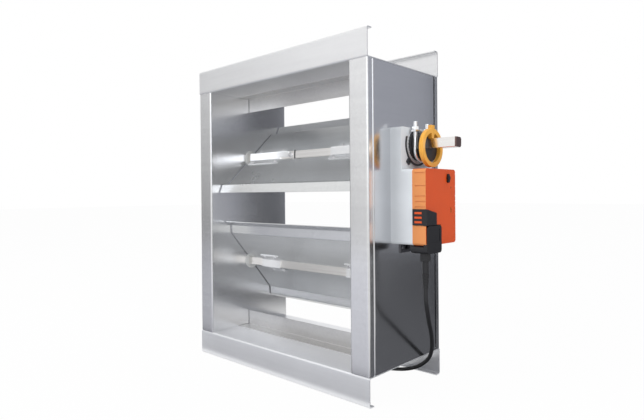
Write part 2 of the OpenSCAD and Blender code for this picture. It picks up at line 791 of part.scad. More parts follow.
module compound(low_layer, high_layer, low_teeth, low_phase, high_teeth, high_phase, z)
    union() {
        gear(low_layer, low_teeth, low_phase, z, axle_d + 2 * run_gap);
        gear(high_layer, high_teeth, high_phase, z, axle_d + 2 * run_gap);
        difference() {
            rod_x_dir(low_layer + gear_w - overrun / 2, high_layer + overrun / 2,
                tooth_size * pinion_teeth * 0.7, 0, z, small_fn);
            rod_x_dir(low_layer, high_layer + gear_w, axle_d + 2 * run_gap, 0, z, small_fn);
        }
    }

module first_gear()
    color(steel) set_out() compound(layer_1, layer_2, pinion_teeth, up + 180 / pinion_teeth,
        first_teeth, down, first_z);

module second_gear()
    color(brass) set_out() compound(layer_2, layer_3, pinion_teeth, up + 180 / pinion_teeth,
        second_teeth, down, second_z);

module motor_pinion()
    color(brass) set_out() gear(layer_3, motor_teeth, up + 180 / motor_teeth, motor_z,
        motor_shaft_d + 2 * fit_gap);

module gear_axles()
    color(steel) set_out() {
        rod_x_dir(act_x + wall, clamp_x - wall, axle_d, 0, first_z, small_fn);
        rod_x_dir(act_x + wall, plate_x, axle_d, 0, second_z, small_fn);
    }

plate_margin = 8;
plate_low = motor_z - motor_d / 2 - plate_margin;
module gear_plate()
    color(bright_zinc) set_out() difference() {
        union() {
            along_x(plate_x, plate_x + plate_t)
                round_rect([-act_half + wall + free_gap, plate_low],
                    [act_half - wall - free_gap, hood_top_z - wall - free_gap], case_r / 2);
            for (y = [-act_half + wall * 4, act_half - wall * 8], z = [plate_low + wall * 3])
                rod_x_dir(act_x + wall, plate_x, wall * 2, y, z, small_fn);
        }
        rod_x_dir(plate_x - overrun, plate_x + plate_t + overrun, motor_shaft_d * 2, 0, motor_z,
            small_fn);
        rod_x_dir(plate_x - overrun, plate_x + plate_t + overrun, screw_d + 2 * fit_gap,
            act_half - hood_screw_inset, hood_top_z - hood_screw_inset, small_fn);
    }

module motor()
    color(steel) set_out() {
        rod_x_dir(plate_x + plate_t, plate_x + plate_t + motor_len, motor_d, 0, motor_z);
        rod_x_dir(plate_x + plate_t + motor_len, plate_x + plate_t + motor_len + wall,
            motor_d * 0.3, 0, motor_z, small_fn);
    }

// Circuit board on its own posts in the hood, with plain components
board_t = 1.6;
board_depth = 7;
board_x = hood_x - wall - board_depth;
board_low = button_z + button_h + 2 * wall;
board_high = hood_top_z - 3 * wall;
board_left = -act_half + 11 * wall;
board_right = act_half - hood_screw_inset - 2 * wall;
post_a = 2;
post_reach = motor_d / 2 + 2 * post_a;
chip = [5, 3.5, 8];
chip_count = 4;
module circuit_board()
    color(board_green) set_out() {
        translate([board_x, board_left, board_low])
            cube([board_t, board_right - board_left, board_high - board_low]);
        for (y = [-1, 1], z = [-1, 1])
            translate([plate_x + plate_t, y * post_reach - post_a / 2, motor_z + z * post_reach - post_a / 2])
                cube([board_x - plate_x - plate_t, post_a, post_a]);
        for (i = [0 : chip_count - 1])
            translate([board_x - chip[0], board_left + (i + 1) * 2 * chip[1], board_high - 2 * chip[2]])
                cube(chip);
    }

// Clamp: hub through the gear, toothed disc outside, jaw, bolt, bridge and nuts on the shaft
function star(teeth, r, h) =
    [for (i = [0 : 2 * teeth - 1])
        let(at = i * 180 / teeth)
        (i % 2 == 0 ? r : r - h) * [cos(at), sin(at)]];

module clamp_hub()
    color(black) set_out() at_upper(clamp_turn) difference() {
        union() {
            rod_x_dir(act_x + free_gap, clamp_x + free_gap + hub_disc_t, hub_d, 0, 0);
            along_x(clamp_x + free_gap, clamp_x + free_gap + hub_disc_t)
                polygon(star(hub_teeth, hub_disc_d / 2, hub_tooth_h));
        }
        rod_x_dir(act_x, clamp_x + 2 * hub_disc_t, hub_bore_d, 0, 0);
    }

module clamp_jaw()
    color(black) set_out() at_upper(clamp_turn) difference() {
        along_x(bolt_x - bridge_t / 2, bolt_x + bridge_t / 2) {
            intersection() {
                translate([0, -ubolt_drop]) circle(r = ubolt_r - ubolt_d / 2 - fit_gap, $fn = round_fn);
                translate([-ubolt_r, -ubolt_r * 2]) square([ubolt_r * 2, ubolt_r * 2 - shaft_a / 2]);
            }
        }
        rod_x_dir(bolt_x - bridge_t, bolt_x + bridge_t, shaft_a / 2, 0, -ubolt_r, small_fn);
    }

module clamp_bolt()
    color(bright_zinc) set_out() at_upper(clamp_turn) {
        for (s = [-1, 1]) translate([bolt_x, s * ubolt_r, -ubolt_drop])
            cylinder(h = ubolt_drop + ubolt_leg, d = ubolt_d, $fn = small_fn);
        translate([bolt_x, 0, -ubolt_drop]) rotate([0, 90, 0]) rotate([0, 0, -90])
            rotate_extrude(angle = 180, $fn = round_fn) translate([ubolt_r, 0])
                circle(d = ubolt_d, $fn = small_fn);
    }

module clamp_bridge()
    color(bright_zinc) set_out() at_upper(clamp_turn) difference() {
        along_x(bolt_x - bridge_t / 2, bolt_x + bridge_t / 2)
            polygon([[-bridge_w / 2, bridge_top - bridge_sheet], [-bridge_w / 2, bridge_top],
                [bridge_w / 2, bridge_top], [bridge_w / 2, bridge_top - bridge_sheet],
                [ubolt_r - ubolt_d, bridge_top - bridge_sheet], [shaft_a / 2, bridge_low],
                [-shaft_a / 2, bridge_low], [-ubolt_r + ubolt_d, bridge_top - bridge_sheet]]);
        for (s = [-1, 1]) translate([bolt_x, s * ubolt_r, 0])
            cylinder(h = bridge_top + overrun, d = ubolt_d + 2 * fit_gap, $fn = small_fn);
    }

module clamp_nuts()
    color(bright_zinc) set_out() at_upper(clamp_turn) for (s = [-1, 1])
        translate([bolt_x, s * ubolt_r, bridge_top]) difference() {
            cylinder(h = nut_t, d = nut_af / cos(30), $fn = 6);
            translate([0, 0, -overrun]) cylinder(h = nut_t + 2 * overrun, d = ubolt_d + 2 * fit_gap,
                $fn = small_fn);
        }

// Carrier disc on the shaft and the position ring on it
module ring_carrier()
    color(black) set_out() at_upper(clamp_turn) difference() {
        rod_x_dir(carrier_x, ring_x, carrier_d, 0, -ring_drop / 2);
        along_x(carrier_x - overrun, ring_x + overrun)
            square(shaft_a + 2 * fit_gap, center = true);
    }

module position_ring()
    color(amber) set_out() at_upper(clamp_turn) along_x(ring_x, ring_x + ring_depth)
        translate([0, -ring_drop]) {
            difference() {
                union() {
                    circle(d = ring_d, $fn = round_fn);
                    translate([-ring_tab_w / 2, 0]) square([ring_tab_w, ring_d / 2 + ring_tab_h]);
                }
                difference() {
                    circle(d = ring_d - 2 * ring_w, $fn = round_fn);
                    polygon([[-pointer_w / 2, ring_d / 2], [pointer_w / 2, ring_d / 2],
                        [pointer_w / 4, ring_drop + shaft_a / 2 + free_gap],
                        [-pointer_w / 4, ring_drop + shaft_a / 2 + free_gap]]);
                }
            }
        }

// End stops: a track round the toothed disc with a diamond lug at each side
track_r = hub_disc_d / 2 + 8;
track_w = 3;
track_t = 1.4;
track_top = 12;
stop_lug_r = track_r + 4;
stop_lug_a = 8;
stop_lug_turn = 46;
module end_stops()
    color(black) set_out() translate([clamp_x, 0, upper_z]) {
        along_x(0, track_t) intersection() {
            difference() {
                circle(r = track_r, $fn = round_fn);
                circle(r = track_r - track_w, $fn = round_fn);
            }
            translate([-2 * track_r, -2 * track_r]) square([4 * track_r, 2 * track_r + track_top]);
        }
        for (side = [-1, 1])
            translate([0, side * stop_lug_r * cos(stop_lug_turn), -stop_lug_r * sin(stop_lug_turn)]) {
                along_x(0, hub_disc_t) rotate(45) square(stop_lug_a, center = true);
                rod_x_dir(hub_disc_t, hub_disc_t + track_t, ubolt_d / 2, 0, 0, small_fn);
            }
    }

// Release button: a cap round the housing's front corner, with raised bars. Its skirt runs
// outside the housing's front side, so that the button can be pressed in.
function button_face(grow) =
    let(y = [-act_half - button_proud - grow, -act_half + button_in + grow],
        z = [button_z - grow, button_z + button_h + grow])
    [[y[0], z[0]], [y[1], z[0]], [y[1], z[1] - button_taper], [y[0], z[1]]];

module release_button()
    set_out() {
        color(black) difference() {
            union() {
                along_x(hood_x - button_rim, hood_x + button_travel) polygon(button_face(0));
                translate([hood_x - button_side, -act_half - button_proud, button_z])
                    cube([button_side + button_travel - button_skin, button_proud - button_gap,
                        button_h]);
            }
            along_x(hood_x - button_rim - overrun, hood_x + button_travel - button_skin)
                polygon(button_face(-button_skin));
        }
        color(orange) for (share = bar_z_share)
            translate([hood_x - button_side + 2 * wall, -act_half - button_proud - bar_t,
                button_z + button_h * share - bar_h / 2])
                cube([bar_len, bar_t, bar_h]);
    }

module direction_knob()
    color(black) set_out() {
        rod_x_dir(hood_x + free_gap, hood_x + knob_t, knob_d * 0.6, knob_y, knob_z, small_fn);
        along_x(hood_x + free_gap, hood_x + knob_t * 0.7) for (s = [-1, 1])
            translate([knob_y, knob_z + s * knob_d * 0.3]) circle(d = knob_d * 0.55, $fn = small_fn);
        rod_x_dir(hood_x - wall * 1.5, hood_x + free_gap + fit_gap, knob_pin_d, knob_y, knob_z,
            small_fn);
    }

module status_lens()
    color([0.95, 0.95, 0.75]) set_out() translate([hood_x - wall, lens_y, lens_z])
        rotate([0, 90, 0]) cylinder(h = wall + free_gap, d = lens_d, $fn = small_fn);

// Torque bracket: holds the actuator's foot against turning; screwed to the cover
module torque_bracket()
    color(black) set_out() difference() {
        translate([act_x, -bracket_w / 2, act_bottom_z - bracket_low])
            cube([bracket_t, bracket_w, bracket_low - free_gap]);
        for (y = [-1, 1])
            rod_x_dir(act_x - overrun, act_x + bracket_t + overrun, screw_d + 2 * fit_gap,
                y * bracket_screw_y, bracket_screw_z, small_fn);
    }

module torque_pin()
    color(black) set_out() {
        for (y = [-1, 1])
            pan_screw(act_x + bracket_t, y * bracket_screw_y, bracket_screw_z,
                bracket_t + cover_t);
        translate([act_x + bracket_t, -torque_pin_d + free_gap, act_bottom_z - bracket_lap])
            cube([torque_slot_w + wall - free_gap, 2 * torque_pin_d - 2 * free_gap, wall]);
        translate([act_x + bracket_t + wall + free_gap, -torque_pin_d + free_gap,
            act_bottom_z - bracket_lap])
            cube([torque_slot_w - 2 * free_gap, 2 * torque_pin_d - 2 * free_gap,
                bracket_lap + wall / 2]);
    }

// Connector plug: a plate let into the housing's face and a body under the housing
module connector_plug()
    color(black) set_out() difference() {
        union() {
            along_x(hood_x - plug_in, hood_x + plug_proud)
                round_rect([plug_y0, act_bottom_z - plug_drop],
                    [plug_y0 + plug_w, act_bottom_z - plug_drop + plug_h], plug_r);
            along_x(plug_x0, hood_x)
                round_rect([plug_y0, act_bottom_z - plug_drop],
                    [plug_y0 + plug_w, act_bottom_z - plug_gap], plug_r);
        }
        translate([hood_x + plug_proud - plug_recess, plug_y0 + plug_r, act_bottom_z + plug_r])
            cube([overrun, plug_w - 2 * plug_r, plug_h * plug_recess_share]);
    }

gland_z = act_bottom_z - plug_drop;
module cable_gland()
    color(black) set_out() translate([gland_x, gland_y, gland_z - gland_h]) {
        cylinder(h = gland_h, d = gland_d, $fn = 8);
        translate([0, 0, -sleeve_h]) cylinder(h = sleeve_h, d = sleeve_d, $fn = small_fn);
    }

module strain_relief()
    color(black) set_out() translate([gland_x, gland_y, gland_z - gland_h - sleeve_h]) {
        step = relief_h / relief_rings;
        for (i = [0 : relief_rings - 1]) {
            size = relief_d * (1 - (1 - relief_tip_share) * i / (relief_rings - 1));
            translate([0, 0, -(i + 0.62) * step]) cylinder(h = step * 0.62, d = size, $fn = small_fn);
            translate([0, 0, -(i + 1) * step])
                cylinder(h = step * 0.5, d = size * relief_neck_share, $fn = small_fn);
        }
    }

// The lead: smooth curve through the route's points, swept as one tube
function knot(p, i) = p[max(0, min(len(p) - 1, i))];
function spline(p, i, t) =
    let(a = knot(p, i - 1), b = knot(p, i), c = knot(p, i + 1), d = knot(p, i + 2))
    0.5 * (2 * b + (c - a) * t + (2 * a - 5 * b + 4 * c - d) * t * t
        + (3 * b - a - 3 * c + d) * t * t * t);

route_steps = 3;
function route_line() =
    concat([for (i = [0 : len(route) - 2], k = [0 : route_steps - 1]) spline(route, i, k / route_steps)],
        [route[len(route) - 1]]);

function ring_at(p, dir, r, sides) =
    let(t = unit(dir), side = unit(cross(t, abs(t[2]) > 0.9 ? [0, 1, 0] : [0, 0, 1])),
        over = cross(side, t))
    [for (k = [0 : sides - 1])
        p + r * (cos(360 * k / sides) * side + sin(360 * k / sides) * over)];

function tangent(p, i) = p[min(len(p) - 1, i + 1)] - p[max(0, i - 1)];

module tube(line, r, sides) {
    rings = [for (i = [0 : len(line) - 1]) ring_at(line[i], tangent(line, i), r, sides)];
    count = len(line);
    skin = [for (i = [0 : count - 2], k = [0 : sides - 1])
        let(n = (k + 1) % sides)
        each [[i * sides + k, i * sides + n, (i + 1) * sides + n],
            [i * sides + k, (i + 1) * sides + n, (i + 1) * sides + k]]];
    ends = concat([for (k = [1 : sides - 2]) [0, k + 1, k]],
        [for (k = [1 : sides - 2]) [0, k, k + 1] + (count - 1) * sides * [1, 1, 1]]);
    polyhedron(points = [for (ring = rings) each ring], faces = concat(skin, ends));
}

module lead() color(black) tube(route_line(), cable_d / 2, cable_sides);

// The coil: in from the outer loop, up a layer as the spiral turns back, out again on top
half_turns = coil_turns / 2;
function coil_radius(t) =
    coil_r - coil_pitch * (t < half_turns ? t : coil_turns - t);
function coil_height(t) =
    coil_floor + coil_rise * max(0, min(1, (t - half_turns + 0.25) * 2));
function coil_point(t) =
    [coil_centre[0] + coil_radius(t) * sin(-360 * t), coil_centre[1] + coil_radius(t) * cos(360 * t),
        coil_height(t)];
coil_line = concat([coil_point(0) + [coil_run, 0, 0]],
    [for (i = [0 : coil_turns * loop_rings]) coil_point(i / loop_rings)],
    [coil_point(coil_turns) - [coil_run, 0, 0]]);
coil_gap = min([for (i = [0 : len(coil_line) - 1], j = [0 : len(coil_line) - 1])
    if (j - i > loop_rings / 2) norm(coil_line[i] - coil_line[j])]) - cable_d;
echo(coil_gap = coil_gap);
function line_length(p) = [for (i = [0 : len(p) - 2]) norm(p[i + 1] - p[i])] * [for (i = [0 : len(p) - 2]) 1];
echo(coil_length = line_length(coil_line), lead_length = line_length(route_line()));

module lead_coil() color(black) tube(coil_line, cable_d / 2, coil_sides);

// Three cores at the free end, lying on the coil's lower layer
core_turn = core_len / (2 * PI * coil_r);
module lead_cores()
    for (k = [-1, 0, 1])
        color(k == 0 ? copper : (k < 0 ? [0.2, 0.3, 0.7] : [0.9, 0.9, 0.88]))
            tube([for (i = [0 : core_rings])
                let(t = core_turn * i / core_rings, r = coil_r + k * (core_d + free_gap / 2),
                    z = coil_floor + coil_rise)
                [coil_centre[0] - coil_run - r * sin(360 * t), coil_centre[1] + r * cos(360 * t), z]],
                core_d / 2, coil_sides);

top_rail();
bottom_rail();
left_jamb();
right_jamb();
top_stop();
bottom_stop();
linkage_cover();
cover_screws();
upper_blade();
upper_shaft();
upper_bushes();
upper_straps();
upper_rivets();
upper_crank();
upper_shaft_clip();
bar_screw();
bar_clip();
lower_blade();
lower_shaft();
lower_bushes();
lower_straps();
lower_rivets();
lower_crank();
lower_shaft_clip();
tie_rod();
actuator_base();
actuator_hood();
hood_screws();
gear_plate();
gear_axles();
motor();
motor_pinion();
second_gear();
first_gear();
output_gear();
clamp_hub();
clamp_jaw();
clamp_bridge();
clamp_bolt();
clamp_nuts();
ring_carrier();
position_ring();
end_stops();
circuit_board();
release_button();
direction_knob();
status_lens();
torque_bracket();
torque_pin();
connector_plug();
cable_gland();
strain_relief();
lead();
lead_coil();
lead_cores();
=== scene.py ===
# %% [markdown]
# # A motorised duct damper
# A rectangular damper sits between two lengths of duct and opens or shuts with two blades.
# Its casing is folded from galvanised sheet, and a small rotary actuator on its side turns the
# upper blade's square shaft. Here the built part is loaded as it stands, and each piece gets
# the finish that the real one has, save a painted sheen on the hood's front and painted shade
# on the torque bracket and the bar clip. Pieces whose edges are moulded round get a rounded copy.

import bmesh
import bpy
import json
import math
from mathutils import Matrix, Vector

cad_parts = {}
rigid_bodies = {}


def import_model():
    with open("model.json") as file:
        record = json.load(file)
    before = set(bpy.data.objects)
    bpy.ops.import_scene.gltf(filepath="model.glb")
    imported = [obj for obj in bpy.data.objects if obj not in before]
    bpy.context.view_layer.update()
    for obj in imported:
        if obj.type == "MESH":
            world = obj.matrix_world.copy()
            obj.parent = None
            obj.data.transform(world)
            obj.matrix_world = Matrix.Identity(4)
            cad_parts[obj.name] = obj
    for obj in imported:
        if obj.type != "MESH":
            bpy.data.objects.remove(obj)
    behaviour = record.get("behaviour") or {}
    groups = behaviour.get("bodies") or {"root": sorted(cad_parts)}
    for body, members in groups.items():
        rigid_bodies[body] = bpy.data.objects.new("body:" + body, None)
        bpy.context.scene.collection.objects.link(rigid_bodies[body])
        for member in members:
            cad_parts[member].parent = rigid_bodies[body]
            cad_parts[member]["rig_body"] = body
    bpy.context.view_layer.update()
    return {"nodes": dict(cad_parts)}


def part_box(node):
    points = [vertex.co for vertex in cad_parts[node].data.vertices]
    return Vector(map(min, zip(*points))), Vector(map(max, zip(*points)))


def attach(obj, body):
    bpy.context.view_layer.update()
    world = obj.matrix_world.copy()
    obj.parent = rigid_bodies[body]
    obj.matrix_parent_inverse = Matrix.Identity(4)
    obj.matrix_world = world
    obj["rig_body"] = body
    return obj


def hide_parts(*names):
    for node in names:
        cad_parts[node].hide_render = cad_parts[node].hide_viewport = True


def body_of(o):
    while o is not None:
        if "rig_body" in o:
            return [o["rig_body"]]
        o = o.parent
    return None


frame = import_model()
NODES = frame["nodes"]
MM = 0.001

# %% [markdown]
# Lengths below are written in millimetres, as on a drawing, and one small helper turns them into
# Blender's metres. Each piece made here sits at the origin with its place in its mesh, as the
# built pieces do, so that all of them share one frame.


# %% Small helpers
def mm(x, y, z):
    return Vector((x, y, z)) * MM


def add_object(name, data):
    obj = bpy.data.objects.new(name, data)
    bpy.context.scene.collection.objects.link(obj)
    return obj


def centre_of(node):
    low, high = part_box(node)
    return (low + high) / 2


def mesh_from(name, points, faces):
    mesh = bpy.data.meshes.new(name)
    mesh.from_pydata(points, [], faces)
    mesh.update()
    return mesh


CASING, UPPER = "casing", "upper_drive"
UPPER_Z = centre_of("upper_shaft_clip").z
LOWER_Z = centre_of("lower_shaft_clip").z
print("blade axes at", round(UPPER_Z / MM, 1), "and", round(LOWER_Z / MM, 1), "mm")

# %% [markdown]
# The camera stands where the photographer's did: a little over half the casing's height, off its
# front right corner. A wide lens close by gives the strong perspective on the flanges. It could
# be set by eye, but a place, a turn and a lens that were fitted to the casing's corners make
# every long edge run as it does in the photograph.

# %% Camera
CAMERA_AT = mm(628.9, -703.4, 315.2)
CAMERA_TURN = math.radians(42.62)
CAMERA_TILT = math.radians(-0.40)
CAMERA_ROLL = math.radians(0.48)
LENS = 29.11
SENSOR = 36
SHIFT_UP = -0.0194
VIEW_DEPTH = 50

camera_data = bpy.data.cameras.new("camera")
camera_data.lens = LENS
camera_data.sensor_width = SENSOR
camera_data.sensor_fit = "HORIZONTAL"
camera_data.shift_y = SHIFT_UP
camera_data.clip_end = VIEW_DEPTH
camera = add_object("camera", camera_data)
camera.location = CAMERA_AT
camera.rotation_mode = "XYZ"
camera.rotation_euler = (math.pi / 2 + CAMERA_TILT, CAMERA_ROLL, CAMERA_TURN)
bpy.context.scene.camera = camera
bpy.context.scene.view_settings.view_transform = "Standard"
print("camera lens", LENS, "mm")

# %% [markdown]
# The lead is one metre of thin round cable. It drops from the strain relief, turns in under the
# side of the casing and ends in a small coil inside the bottom rail. A rope simulation could
# drop it there, but its length would then be hard to hold. So a smooth curve goes through a few
# listed points, the same as in the part's source, and a spiral gives the coil: three
# turns that wind in on the floor and out again on top.

# %% The lead's path
CABLE_D = 6.2
ROUTE = [(216, -28, 172), (216, -28, 162), (215.5, -26, 150), (213, -18, 134), (209, -7, 116),
         (203, 8, 99), (195, 24, 81), (186, 39, 63), (176, 51, 47), (164, 59, 33), (149, 63, 21),
         (131, 64, 11.5), (110, 62, 5.5), (88, 56, 3.6), (66, 50, 3.2), (44, 46, 3.2),
         (22, 43, 3.2), (0, 42, 3.2), (-22, 42, 3.2), (-40, 42, 3.2), (-58, 42, 3.2)]
ROUTE_STEPS = 3
COIL_X, COIL_Y = -66, 6
COIL_R = 36
COIL_PITCH = 7
COIL_FLOOR = 3.2
COIL_RISE = 6.9
COIL_CLIMB = 0.5
COIL_TURNS = 3
COIL_RUN = Vector((8, 0, 0))
LOOP_STEPS = 24


def through(points, steps):
    """Points on a smooth curve that passes through every given point."""
    path = []
    knots = [Vector(p) for p in points]
    for i in range(len(knots) - 1):
        a, b = knots[max(i - 1, 0)], knots[i]
        c, d = knots[i + 1], knots[min(i + 2, len(knots) - 1)]
        for k in range(steps):
            t = k / steps
            path.append(0.5 * (2 * b + (c - a) * t + (2 * a - 5 * b + 4 * c - d) * t * t
                               + (3 * b - a - 3 * c + d) * t ** 3))
    path.append(knots[-1])
    return path


def coil_point(turn):
    """A point of the coil, which climbs onto its second layer halfway through its turns."""
    radius = COIL_R - COIL_PITCH * min(turn, COIL_TURNS - turn)
    climbed = (turn - COIL_TURNS / 2 + COIL_CLIMB / 2) / COIL_CLIMB
    height = COIL_FLOOR + COIL_RISE * max(0, min(1, climbed))
    angle = 2 * math.pi * turn
    return Vector((COIL_X - radius * math.sin(angle), COIL_Y + radius * math.cos(angle), height))


coil = [coil_point(i / LOOP_STEPS) for i in range(COIL_TURNS * LOOP_STEPS + 1)]
cable_end = coil[-1] - COIL_RUN
lead_path = through(ROUTE, ROUTE_STEPS) + coil + [cable_end]

# %% [markdown]
# Such a lead is supplied without a plug: its sheath stops, and three thin cores come out side by
# side. A curve with a round bevel makes each of them, because one number then sets its
# thickness, and the cores follow the coil's own round beyond the end of the sheath.


# %% The lead and its cores
def tube(name, path, diameter, roundness=6):
    """A round tube of one diameter along a path in millimetres."""
    curve = bpy.data.curves.new(name, "CURVE")
    curve.dimensions = "3D"
    curve.bevel_depth = diameter / 2 * MM
    curve.bevel_resolution = roundness
    curve.use_fill_caps = True
    spline = curve.splines.new("POLY")
    spline.points.add(len(path) - 1)
    for point, at in zip(spline.points, path):
        point.co = (*(at * MM), 1)
    spline.use_smooth = True
    return add_object(name, curve)


CORE_D = 2
CORE_LENGTH = 34
CORE_STEPS = 6
CORE_SPACING = 2.15
CORE_ROUNDNESS = 3


def core_path(offset):
    """An arc about the coil's middle, which starts where the sheath ends."""
    radius = COIL_R + offset
    angles = [CORE_LENGTH / COIL_R * i / CORE_STEPS for i in range(CORE_STEPS + 1)]
    return [Vector((COIL_X - COIL_RUN.x - radius * math.sin(angle),
                    COIL_Y + radius * math.cos(angle), cable_end.z)) for angle in angles]


lead = tube("lead_cable", lead_path, CABLE_D)
cores = [tube("core_" + name, core_path(place * CORE_SPACING), CORE_D, CORE_ROUNDNESS)
         for place, name in ((-1, "blue"), (0, "brown"), (1, "white"))]
print("cores:", [core.name for core in cores])

# %% [markdown]
# The damper stands in a pale studio. Strong lamps could burn the background white, but they
# would burn the sheet metal too. So the floor and the surround glow plain white only where the
# camera, a mirror or glass sees them, which the Light Path node tells, and light the damper as a
# soft grey room does. A real room isn't white all round, so mirrors see both a little dimmer.

# %% Helpers for what is seen and what lights
WHITE = (1, 1, 1, 1)


def new_material(name):
    material = bpy.data.materials.new(name)
    material.use_nodes = True
    tree = material.node_tree
    tree.nodes.clear()
    return material, tree


def math_node(tree, operation, *values):
    """A Math node on the given numbers or sockets."""
    node = tree.nodes.new("ShaderNodeMath")
    node.operation = operation
    for slot, value in zip(node.inputs, values):
        if isinstance(value, (int, float)):
            slot.default_value = value
        else:
            tree.links.new(value, slot)
    return node.outputs[0]


def seen_directly(tree):
    """1 for camera, glossy and transmission rays, else 0."""
    rays = tree.nodes.new("ShaderNodeLightPath").outputs
    either = math_node(tree, "MAXIMUM", rays["Is Camera Ray"], rays["Is Glossy Ray"])
    return math_node(tree, "MAXIMUM", either, rays["Is Transmission Ray"])


def dimmer_in_mirrors(tree, share):
    """Full strength for the camera, and one share less where a shiny surface mirrors it."""
    rays = tree.nodes.new("ShaderNodeLightPath").outputs
    return math_node(tree, "MULTIPLY_ADD", rays["Is Glossy Ray"], -share, 1)


def end_in_mix(tree, factor, lighting, white, output):
    """Ends a tree in a mix of the shader that lights the damper and the white that is seen."""
    mix = tree.nodes.new("ShaderNodeMixShader")
    tree.links.new(factor, mix.inputs["Fac"])
    tree.links.new(lighting.outputs[0], mix.inputs[1])
    tree.links.new(white.outputs[0], mix.inputs[2])
    tree.links.new(mix.outputs[0], tree.nodes.new(output).inputs["Surface"])


print("materials on the built part:", len(bpy.data.materials))

# %% Floor
FLOOR_HALF = 14
FLOOR_GREY = (0.65, 0.65, 0.65, 1)
# The small rest is lit floor, which keeps the damper's shadow
FLOOR_WHITE_SHARE = 0.975
FLOOR_DIMMING = 0.24


def floor_material():
    material, tree = new_material("studio_floor")
    lighting = tree.nodes.new("ShaderNodeBsdfDiffuse")
    lighting.inputs["Color"].default_value = FLOOR_GREY
    white = tree.nodes.new("ShaderNodeEmission")
    white.inputs["Color"].default_value = WHITE
    tree.links.new(dimmer_in_mirrors(tree, FLOOR_DIMMING), white.inputs["Strength"])
    factor = math_node(tree, "MULTIPLY", seen_directly(tree), FLOOR_WHITE_SHARE)
    end_in_mix(tree, factor, lighting, white, "ShaderNodeOutputMaterial")
    return material


floor_points = [(x * FLOOR_HALF, y * FLOOR_HALF, 0)
                for x, y in ((-1, -1), (1, -1), (1, 1), (-1, 1))]
floor = add_object("floor", mesh_from("floor", floor_points, [(0, 1, 2, 3)]))
floor.data.materials.append(floor_material())
print("floor", 2 * FLOOR_HALF, "m across")

# %% Surround
SKY_COLOUR = (0.92, 0.95, 1, 1)
SKY_STRENGTH = 0.55
SKY_DIMMING = 0.08

world = bpy.data.worlds.new("studio")
bpy.context.scene.world = world
world.use_nodes = True
sky = world.node_tree
sky.nodes.clear()
dim_sky = sky.nodes.new("ShaderNodeBackground")
dim_sky.inputs["Color"].default_value = SKY_COLOUR
dim_sky.inputs["Strength"].default_value = SKY_STRENGTH
white_sky = sky.nodes.new("ShaderNodeBackground")
white_sky.inputs["Color"].default_value = WHITE
sky.links.new(dimmer_in_mirrors(sky, SKY_DIMMING), white_sky.inputs["Strength"])
end_in_mix(sky, seen_directly(sky), dim_sky, white_sky, "ShaderNodeOutputWorld")
print("surround lights with strength", SKY_STRENGTH)

# %% [markdown]
# The light on the damper comes from three large square lamps: a key lamp at the front left, a
# weaker one at the right and a weak one overhead. Large lamps give the soft shadows of a studio.
# Shiny sheet would mirror them as hard squares, so they are hidden from mirrors, and cards made
# below are mirrored instead.

# %% Lamps
LAMPS_FACE = Vector((0, 0, 0.28))


def lamp(name, at, size, power):
    """A soft square lamp that faces the damper, with its place and size in metres."""
    data = bpy.data.lights.new(name, "AREA")
    data.shape = "SQUARE"
    data.size = size
    data.energy = power
    obj = add_object(name, data)
    obj.location = at
    obj.rotation_euler = (LAMPS_FACE - Vector(at)).to_track_quat("-Z", "Y").to_euler()
    obj.visible_glossy = False
    return obj


lamps = [lamp("key_lamp", (-1.1, -2.4, 1.9), 1.8, 68),
         lamp("side_lamp", (2.5, -0.6, 1.4), 1.6, 26),
         lamp("top_lamp", (0.2, 0.4, 2.4), 1.6, 14)]
print("lamps:", [obj.name for obj in lamps])

# %% [markdown]
# A sheet-metal surface shows what it mirrors, so a photographer stands grey cards round it. A
# picture of a studio could surround the scene instead, but each card can be moved on its own.
# A card here is seen only by mirror-like surfaces, and its grey may change from corner to
# corner, which gives the soft slopes of light on the flanges and the darker side.

# %% Grey cards
COOL = (0.97, 0.99, 1.03)
CARD_RISE = 0.003


def card(name, corners, greys, tint=COOL):
    """A glowing card between four corners in metres, with a grey for each corner."""
    mesh = mesh_from(name, corners, [(0, 1, 2, 3)])
    tones = mesh.color_attributes.new("tone", "FLOAT_COLOR", "POINT")
    for point, grey in zip(tones.data, greys):
        point.color = (*(grey * part for part in tint), 1)
    material, tree = new_material(name)
    tone = tree.nodes.new("ShaderNodeVertexColor")
    tone.layer_name = "tone"
    glow = tree.nodes.new("ShaderNodeEmission")
    output = tree.nodes.new("ShaderNodeOutputMaterial")
    tree.links.new(tone.outputs["Color"], glow.inputs["Color"])
    tree.links.new(glow.outputs[0], output.inputs["Surface"])
    mesh.materials.append(material)
    obj = add_object(name, mesh)
    obj.visible_camera = False
    obj.visible_diffuse = False
    obj.visible_shadow = False
    obj.visible_transmission = False
    return obj


def standing(a, b, top, foot=0):
    """The corners of an upright card over the line from a to b."""
    return [(*a, foot), (*b, foot), (*b, top), (*a, top)]


def lying(*spots):
    """The corners of a card just over the floor."""
    return [(*spot, CARD_RISE) for spot in spots]


print("cards on the floor lie", CARD_RISE / MM, "mm over it")

